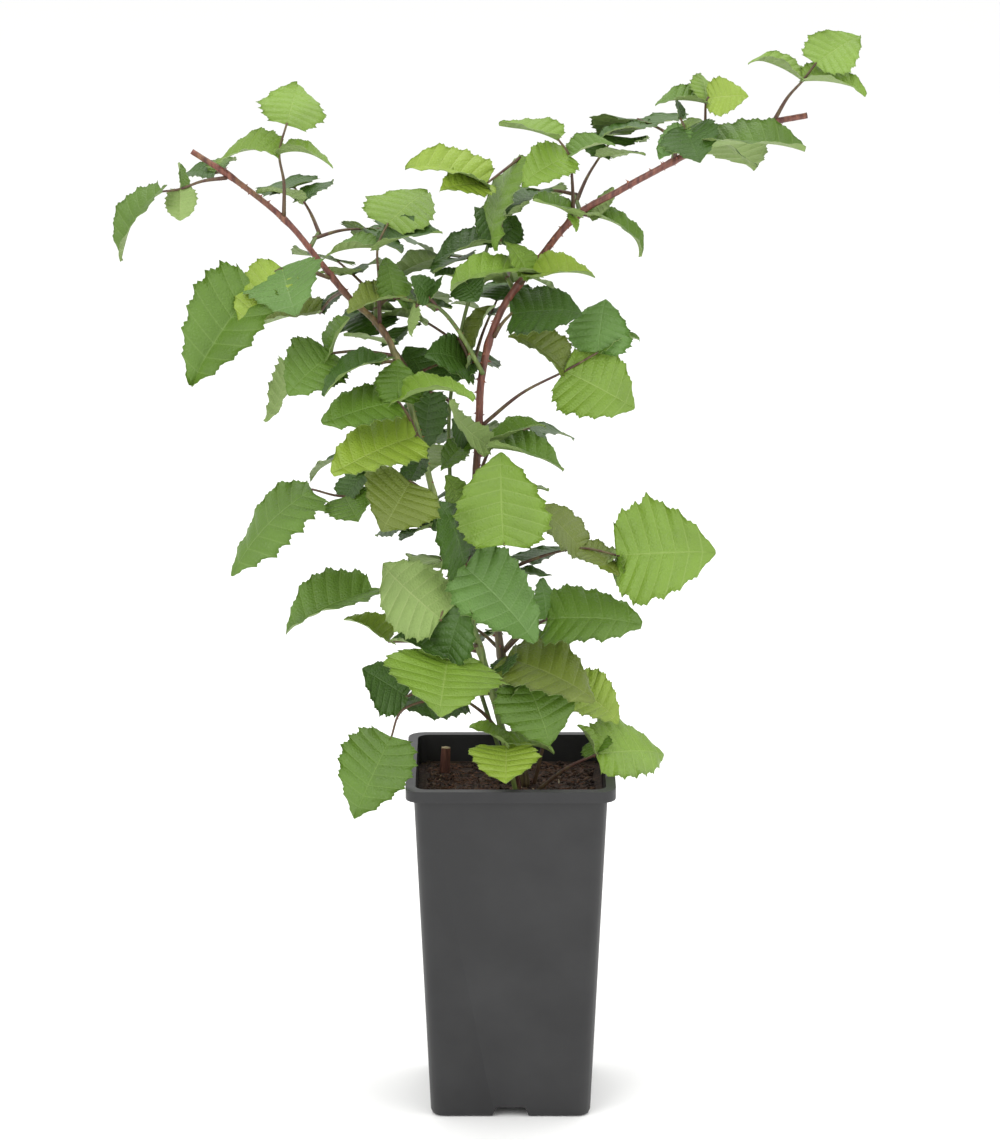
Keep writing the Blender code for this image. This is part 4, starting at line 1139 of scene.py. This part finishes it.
def swollen(shares, length, seed):
    """Relief of a cane: ribs round it, slow bumps along it and a swelling at each leaf."""
    dice = random.Random(seed)
    places = [share * length for share in shares]
    slow = [dice.uniform(0, 6) for _ in range(4)]

    def relief(distance, turn):
        value = 1 + RIBS[0] * np.sin(RIBS[1] * turn + RIBS[2] * distance + slow[0])
        value = value + (BENDS[0] * np.sin(BENDS[2] * distance + slow[1])
                         * np.sin(BENDS[1] * turn + slow[2]))
        value = value + KNOBS[0] * np.sin(KNOBS[2] * distance + KNOBS[1] * turn + slow[3])
        for place in places:
            value = value + NODE_SWELL * np.exp(-((distance - place) / NODE_REACH)**2)
        return value

    return relief


cane_skins = {"left": cane_left_bark, "right": cane_right_bark}
for name, node in OWN_SOLID.items():
    points, foot_radius, tip_radius = STEMS[name]
    line = spline(points, BARK_STEP)
    line[0, 2] = SOIL_TOP - 1
    length = np.linalg.norm(np.diff(line, axis=0), axis=1).sum()
    shares = [share for _, parent, share, *_ in stalks if parent == name]
    shape = smooth_tube(line, (foot_radius, tip_radius), CANE_SIDES,
                        swollen(shares, length, len(name)))
    piece = add_piece(node + "_bark", shape, [cane_skins[name], pith],
                      cut_slots(shape, CANE_SIDES))
    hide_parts(node)

# %% Shoots and stalks
SHOOT_SIDES = 14
SPUR_SIDES = 10
STALK_SIDES = 9
SPUR_SINK = 1.5
SPUR_FLARE = 1.2
STALK_STEP = 3.0
STALK_SINK = 1.6
STALK_FLARE = 1.25
shoot_shapes, stalk_shapes = [], []
for name in ("middle", "side"):
    points, *ends = STEMS[name]
    shoot_shapes.append(smooth_tube(spline(points, BARK_STEP), ends, SHOOT_SIDES))
for name, (curve, *ends) in stems.items():
    if name.startswith("spray"):
        inward = curve[0] - (curve[1] - curve[0]) / SPUR_LENGTH * SPUR_SINK
        line = np.linspace(inward, curve[1], 8)
        shoot_shapes.append(smooth_tube(line, (ends[0] * SPUR_FLARE, *ends), SPUR_SIDES))
for node, parent, share, run, ends in stalks:
    way = run[1] - run[0]
    start = run[0] - STALK_SINK * way / np.linalg.norm(way)
    line = spline([start, *run[1:]], STALK_STEP)
    stalk_shapes.append(smooth_tube(line, (ends[0] * STALK_FLARE, *ends[1:]), STALK_SIDES))
shoots = add_piece("shoots", joined(shoot_shapes), [shoot_bark])
leaf_stalks = add_piece("leaf_stalks", joined(stalk_shapes), [stalk_bark])

# %% [markdown]
# ## Prickles
#
# Tayberry canes carry slender prickles with a long narrow foot, leaning a little backwards. Hair
# could draw them, but it would not be part of the exported mesh. So each one is a five-sided spike
# of three rings, and all spikes are worked out in one set of arrays from their place, their outward
# direction and their size.

# %% Prickle surface
# Height of a ring, its length along the cane and its width, and how far it leans back.
PRICKLE_RINGS = ((-0.15, 1.7, 1.0, 0.0), (0.4, 0.45, 0.32, 0.05), (1.0, 0.07, 0.05, 0.22))
PRICKLE_SIDES = 5


def spikes(places, outward, along, heights, widths):
    """Spikes as three rings: a long foot, a thin bent waist and a fine tip."""
    sides, levels = PRICKLE_SIDES, len(PRICKLE_RINGS)
    turns = np.arange(sides) * 2 * math.pi / sides
    third = np.cross(outward, along)
    rings = []
    for level, stretch, width, back in PRICKLE_RINGS:
        centre = places + outward * (heights * level)[:, None] - along * (heights * back)[:, None]
        ring = (np.cos(turns)[None, :, None] * along[:, None] * stretch
                + np.sin(turns)[None, :, None] * third[:, None] * width)
        rings.append(centre[:, None] + ring * widths[:, None, None])
    points = np.stack(rings, 1).reshape(-1, 3)
    top = (levels - 1) * sides
    fan = np.array([(top, top + k, top + k + 1) for k in range(1, sides - 1)])
    count, step = len(places), levels * sides
    return (points, repeated(grid_quads(levels, sides, closed=True), count, step),
            repeated(fan, count, step))


# %% Prickles along a stem
PRICKLE_WIDTH = 0.34
PRICKLE_SIZES = (0.6, 1.25)
PRICKLE_SHARES = (0.04, 0.97)


def prickles_on(line, radii, count, size, seed):
    """Spikes scattered along a stem by a seeded rule, standing on its skin."""
    dice = np.random.default_rng(seed)
    shares = np.sort(dice.uniform(*PRICKLE_SHARES, count))
    at = np.linspace(0, 1, len(line))
    places = np.stack([np.interp(shares, at, line[:, k]) for k in range(3)], 1)
    tangents = np.gradient(line, axis=0)
    along = np.stack([np.interp(shares, at, tangents[:, k]) for k in range(3)], 1)
    along /= np.linalg.norm(along, axis=1, keepdims=True)
    loose = dice.normal(size=(count, 3))
    outward = loose - along * (loose * along).sum(1, keepdims=True)
    outward /= np.linalg.norm(outward, axis=1, keepdims=True)
    radius = np.interp(shares, np.linspace(0, 1, len(radii)), radii)
    heights = size * dice.uniform(*PRICKLE_SIZES, count)
    skin = places + outward * radius[:, None]
    return spikes(skin, outward, along, heights, heights * PRICKLE_WIDTH)


# %% Prickles on canes, shoots and stalks
# Stem, number of prickles and their size.
PRICKLES = (("left", 75, 1.9), ("right", 120, 2.2), ("side", 16, 1.3), ("middle", 60, 0.9))
STALK_PRICKLES = 7
STALK_PRICKLE_SIZE = 0.75
spike_sets = []
for name, count, size in PRICKLES:
    points, *ends = STEMS[name]
    spike_sets.append(prickles_on(spline(points, BARK_STEP), ends, count, size, len(name)))
for number, (node, parent, share, run, ends) in enumerate(stalks):
    spike_sets.append(prickles_on(spline(run, STALK_STEP), ends, STALK_PRICKLES,
                                  STALK_PRICKLE_SIZE, number))
prickles = add_piece("prickles", joined(spike_sets), [prickle_skin], smooth=False)

# %% Hide the solids of the masses
masses = [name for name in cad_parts
          if name.startswith(("left_", "right_", "low_", "spray_", "shoot_"))]
for piece in grown_leaves + [shoots, leaf_stalks]:
    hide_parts(*masses)
print("replaced", len(masses), "masses")

# %% [markdown]
# ## Pot
#
# The pot is moulded in black plastic: faintly satin, a little scuffed, with light catching its
# rounded rim and corners. It could be modelled a second time, but its solid already has the true
# shape. So a welded copy of it gets fine rounded edges from a Bevel modifier, and the plastic gets
# slow smears of dust and a fine grain.

# %% Pot plastic
PLASTIC = (0.010, 0.010, 0.011)
DUSTY_PLASTIC = (0.020, 0.020, 0.021)
SMEAR_SCALE = 22
GRAIN_SCALE = 900
SMEAR_ROUGH = 0.25
LEAST_ROUGH = 0.30
plastic, tree, shader = new_material("pot_plastic", 0.42)
smear = noise(tree, SMEAR_SCALE, 5.0)
color = mix_color(tree, spread(tree, smear, 0.4, 0.75), PLASTIC, DUSTY_PLASTIC)
tree.links.new(color, shader.inputs["Base Color"])
rough = math_node(tree, "ADD", math_node(tree, "MULTIPLY", smear, SMEAR_ROUGH), LEAST_ROUGH)
tree.links.new(rough, shader.inputs["Roughness"])
tree.links.new(bump(tree, noise(tree, GRAIN_SCALE, 2.0), 0.12, 0.0002), shader.inputs["Normal"])
print("made", plastic.name)

# %% Pot with rounded edges
RIM_ROUND = 0.45
SHARP_ANGLE = math.radians(30)
ROUND_ANGLE = math.radians(40)
FLAT_ANGLE = math.radians(1)
WELD = 0.00001
pot_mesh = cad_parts["pot"].data.copy()
work = bmesh.new()
work.from_mesh(pot_mesh)
bmesh.ops.remove_doubles(work, verts=work.verts, dist=WELD)
bmesh.ops.dissolve_limit(work, angle_limit=FLAT_ANGLE, verts=work.verts, edges=work.edges)
work.to_mesh(pot_mesh)
work.free()
pot_mesh.materials.clear()
pot_mesh.materials.append(plastic)
pot_mesh.shade_smooth()
pot_mesh.set_sharp_from_angle(angle=SHARP_ANGLE)
pot = bpy.data.objects.new("pot_moulded", pot_mesh)
bpy.context.scene.collection.objects.link(pot)
rounding = pot.modifiers.new("rounded_edges", "BEVEL")
rounding.width = RIM_ROUND * MM
rounding.segments = 2
rounding.limit_method = "ANGLE"
rounding.angle_limit = ROUND_ANGLE
rounding.use_clamp_overlap = True
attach(pot, "root")
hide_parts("pot")
print("pot has", len(pot_mesh.polygons), "faces before rounding")

# %% [markdown]
# ## Compost
#
# Damp compost is a dark brown crumb with reddish bark fibres and a few pale bits of straw. A flat
# lid with a bumpy material looks painted at the pot's wall, where one sees over the rim. So the
# surface is one grid that follows the inside of the pot and rises and falls in lumps of several
# sizes. Crumbs, bark chips and fibres are small shapes scattered over it by a seeded rule.

# %% Compost surface
STUB_FOOT = (-44.0, 35.0)
SURFACE_RINGS = 70
CORNER_STEPS = 24
CENTRE_SHARE = 0.012
SKIRT = 12
WALL_GAP = 0.05
SOIL_SINK = 1.4
SOIL_LUMPS = 1.1
SOIL_SEED = 5
# Length of the waves, their height and their number, from clods down to crumbs.
LUMPS = ((26, 0.55, 6), (11, 0.42, 8), (5, 0.30, 10), (2.4, 0.17, 12))


def ring_of(half, corner, steps):
    """Rounded square, counter-clockwise: quarter circles joined by straight sides."""
    quarter = np.repeat(np.arange(4), steps + 1)
    turn = quarter * math.pi / 2 + np.tile(np.arange(steps + 1), 4) * math.pi / 2 / steps
    side = half - corner
    x = np.where((quarter == 0) | (quarter == 3), side, -side) + corner * np.cos(turn)
    y = np.where(quarter < 2, side, -side) + corner * np.sin(turn)
    return np.stack([x, y], 1)


def crumble(x, y, seed):
    """Lumps of several sizes: sums of sine waves in seeded directions, rougher as they shrink."""
    dice = random.Random(seed)
    total = np.zeros_like(x)
    for size, amount, waves in LUMPS:
        for _ in range(waves):
            way = dice.uniform(0, math.pi)
            turn = 2 * math.pi / (size * dice.uniform(0.7, 1.3))
            total += amount / math.sqrt(waves) * np.sin(
                turn * (x * math.cos(way) + y * math.sin(way)) + dice.uniform(0, 6.3))
    return total


def soil_height(x, y):
    """Height of the compost: its top, sunk a little, plus the lumps."""
    return SOIL_TOP - SOIL_SINK + SOIL_LUMPS * crumble(x, y, SOIL_SEED)


inside = POT_BOTTOM + (POT_TOP - POT_BOTTOM) * SOIL_TOP / POT_HEIGHT
edge = ring_of(inside / 2 - POT_WALL - WALL_GAP, POT_CORNER - POT_WALL, CORNER_STEPS)
flat = (edge[None] * np.linspace(1, CENTRE_SHARE, SURFACE_RINGS)[:, None, None]).reshape(-1, 2)
skirt = np.column_stack([edge, np.full(len(edge), SOIL_TOP - SKIRT)])
points = np.vstack([skirt, np.column_stack([flat, soil_height(*flat.T)])])
middle = (0, 0, soil_height(np.zeros(1), np.zeros(1))[0])
soil_shape = capped(points, SURFACE_RINGS + 1, len(edge), (0, 0, SOIL_TOP - SKIRT), middle)

# %% Compost material and piece
DAMP_EARTH = (0.020, 0.011, 0.008)
BROWN_EARTH = (0.055, 0.028, 0.018)
BARK_CRUMB = (0.12, 0.065, 0.038)
CRUMB_SCALE = 330
PATCH_OF_SOIL = 70
earth, tree, shader = new_material("compost_crumb", 0.9)
crumb = noise(tree, CRUMB_SCALE, 6.0)
patch = noise(tree, PATCH_OF_SOIL, 3.0)
brown = mix_color(tree, spread(tree, patch, 0.35, 0.65), DAMP_EARTH, BROWN_EARTH)
brown = mix_color(tree, spread(tree, crumb, 0.55, 0.75), brown, BARK_CRUMB)
tree.links.new(brown, shader.inputs["Base Color"])
tree.links.new(bump(tree, crumb, 0.9, 0.0015), shader.inputs["Normal"])
soil = add_piece("compost_surface", soil_shape, [earth])
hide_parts("compost")


# %% Crumbs, chips and fibres
def scattered(count, seed, margin=6.0):
    """Seeded places on the compost, inside the pot's wall."""
    dice = np.random.default_rng(seed)
    half = inside / 2 - POT_WALL - margin
    flat = dice.uniform(-half, half, (count, 2))
    return dice, np.column_stack([flat, soil_height(*flat.T)])


def chips(count, seed, low, high, flatness):
    """Rough six-sided chips from low to high in size: two uneven rings and their end faces."""
    dice, places = scattered(count, seed)
    turns = np.arange(6) * math.pi / 3
    size = dice.uniform(low, high, count)
    spin = dice.uniform(0, 2 * math.pi, count)
    uneven = dice.uniform(0.6, 1.3, (count, 2, 6))
    x = np.cos(turns) * uneven * size[:, None, None] * dice.uniform(0.7, 1.9, count)[:, None, None]
    y = np.sin(turns) * uneven * size[:, None, None]
    z = np.array([-1, 1])[None, :, None] * size[:, None, None] * flatness * (0.6 + 0.5 * uneven)
    tilt = dice.uniform(-0.6, 0.6, count)[:, None, None]
    z = z + x * tilt
    c, s = np.cos(spin)[:, None, None], np.sin(spin)[:, None, None]
    points = np.stack([x * c - y * s, x * s + y * c, z], -1) + places[:, None, None]
    points = points.reshape(-1, 3)
    fan = np.array([(0, k + 1, k) for k in range(1, 5)] + [(6, 6 + k, 7 + k) for k in range(1, 5)])
    return points, repeated(grid_quads(2, 6, closed=True), count, 12), repeated(fan, count, 12)


def fibres(count, seed, low, high, thick):
    """Bent fibres from low to high in length: short arcs on the compost, fine at both ends."""
    dice, places = scattered(count, seed, 9.0)
    shapes = []
    for place in places:
        length = dice.uniform(low, high)
        heading = dice.uniform(0, 360)
        bow = dice.uniform(-0.35, 0.35)
        t = np.linspace(-0.5, 0.5, 6)[:, None]
        line = (place + t * length * aim(heading, dice.uniform(-18, 18))
                + bow * length * (0.25 - t * t) * aim(heading + 90, 15) + (0, 0, 0.4))
        shapes.append(smooth_tube(line, (0.3 * thick, thick, 0.3 * thick), 4))
    return joined(shapes)


chip_brown = bark_material("bark_chip", ((0.06, 0.03, 0.018), (0.17, 0.085, 0.045)), 0.85, 150.0)
fibre_red = bark_material("bark_fibre", ((0.10, 0.04, 0.022), (0.26, 0.12, 0.06)), 0.85, 150.0)
straw = bark_material("straw", ((0.42, 0.33, 0.20), (0.62, 0.54, 0.36)), 0.7, 150.0)
SCATTERED = (
    ("compost_crumbs", chips(1500, 21, 0.5, 1.4, 0.6), earth),
    ("bark_chips", chips(420, 22, 0.8, 2.2, 0.35), chip_brown),
    ("bark_fibres", fibres(420, 23, 6, 17, 0.32), fibre_red),
    ("straw_bits", fibres(14, 24, 5, 12, 0.55), straw),
)
for name, shape, made in SCATTERED:
    piece = add_piece(name, shape, [made], smooth=False)

# %% Old stub
STUB_SINK = 3
STUB_RISE = (0.9, 0.6, 19)
STUB_RADII = (3.3, 3.1, 3.0)
STUB_SIDES = 30
stub_foot = np.array([*STUB_FOOT, SOIL_TOP - STUB_SINK])
stub_line = np.linspace(stub_foot, stub_foot + STUB_RISE, 24)


def ragged(distance, turn):
    """Shrunken ribs round an old stub."""
    return 1 + 0.10 * np.sin(6 * turn + 0.2 * distance) + 0.05 * np.sin(11 * turn)


stub_wood = bark_material("old_wood", ((0.09, 0.03, 0.02), (0.22, 0.09, 0.055)), 0.8)
stub_shape = smooth_tube(stub_line, STUB_RADII, STUB_SIDES, ragged)
stub = add_piece("old_stub", stub_shape, [stub_wood, pith], cut_slots(stub_shape, STUB_SIDES))
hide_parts("cane_stub")

# %% [markdown]
# ## Stage and light
#
# The photograph is a cut-out on white. A hard lamp would draw leaf shadows on the pot that the
# photograph doesn't have. A plain pale floor, a bright even surround and three large soft lamps
# give the same flat look, with a little more light from the front left.

# %% Floor
FLOOR_SIZE = 12
FLOOR_PLACE = (0, 2, 0)
floor_white, tree, shader = new_material("pale_floor", 0.8)
shader.inputs["Base Color"].default_value = (0.97, 0.97, 0.96, 1)
bpy.ops.mesh.primitive_plane_add(size=FLOOR_SIZE, location=FLOOR_PLACE)
floor = bpy.context.object
floor.name = "floor"
floor.data.materials.append(floor_white)

# %% Lights
world = bpy.data.worlds.new("studio")
bpy.context.scene.world = world
world.use_nodes = True
world.node_tree.nodes["Background"].inputs["Color"].default_value = (1, 1, 1, 1)
world.node_tree.nodes["Background"].inputs["Strength"].default_value = 1.0
# Name, place, size in metres and power in watts.
LAMPS = (("front_left", (-1.6, -2.2, 2.2), 2.0, 38), ("front_right", (2.0, -1.6, 1.4), 1.6, 14),
         ("top", (0.2, 0.6, 2.6), 2.2, 26))
LAMP_TARGET = np.array([0, 0, 0.4])
for name, place, size, power in LAMPS:
    lamp = bpy.data.lights.new(name, "AREA")
    lamp.size = size
    lamp.energy = power
    lit = bpy.data.objects.new(name, lamp)
    lit.location = place
    toward = LAMP_TARGET - place
    down = math.acos(-toward[2] / np.linalg.norm(toward))
    lit.rotation_euler = (down, 0, math.atan2(toward[1], toward[0]) - math.pi / 2)
    bpy.context.scene.collection.objects.link(lit)
bpy.context.scene.view_settings.view_transform = "Standard"
print(len(LAMPS), "lamps")
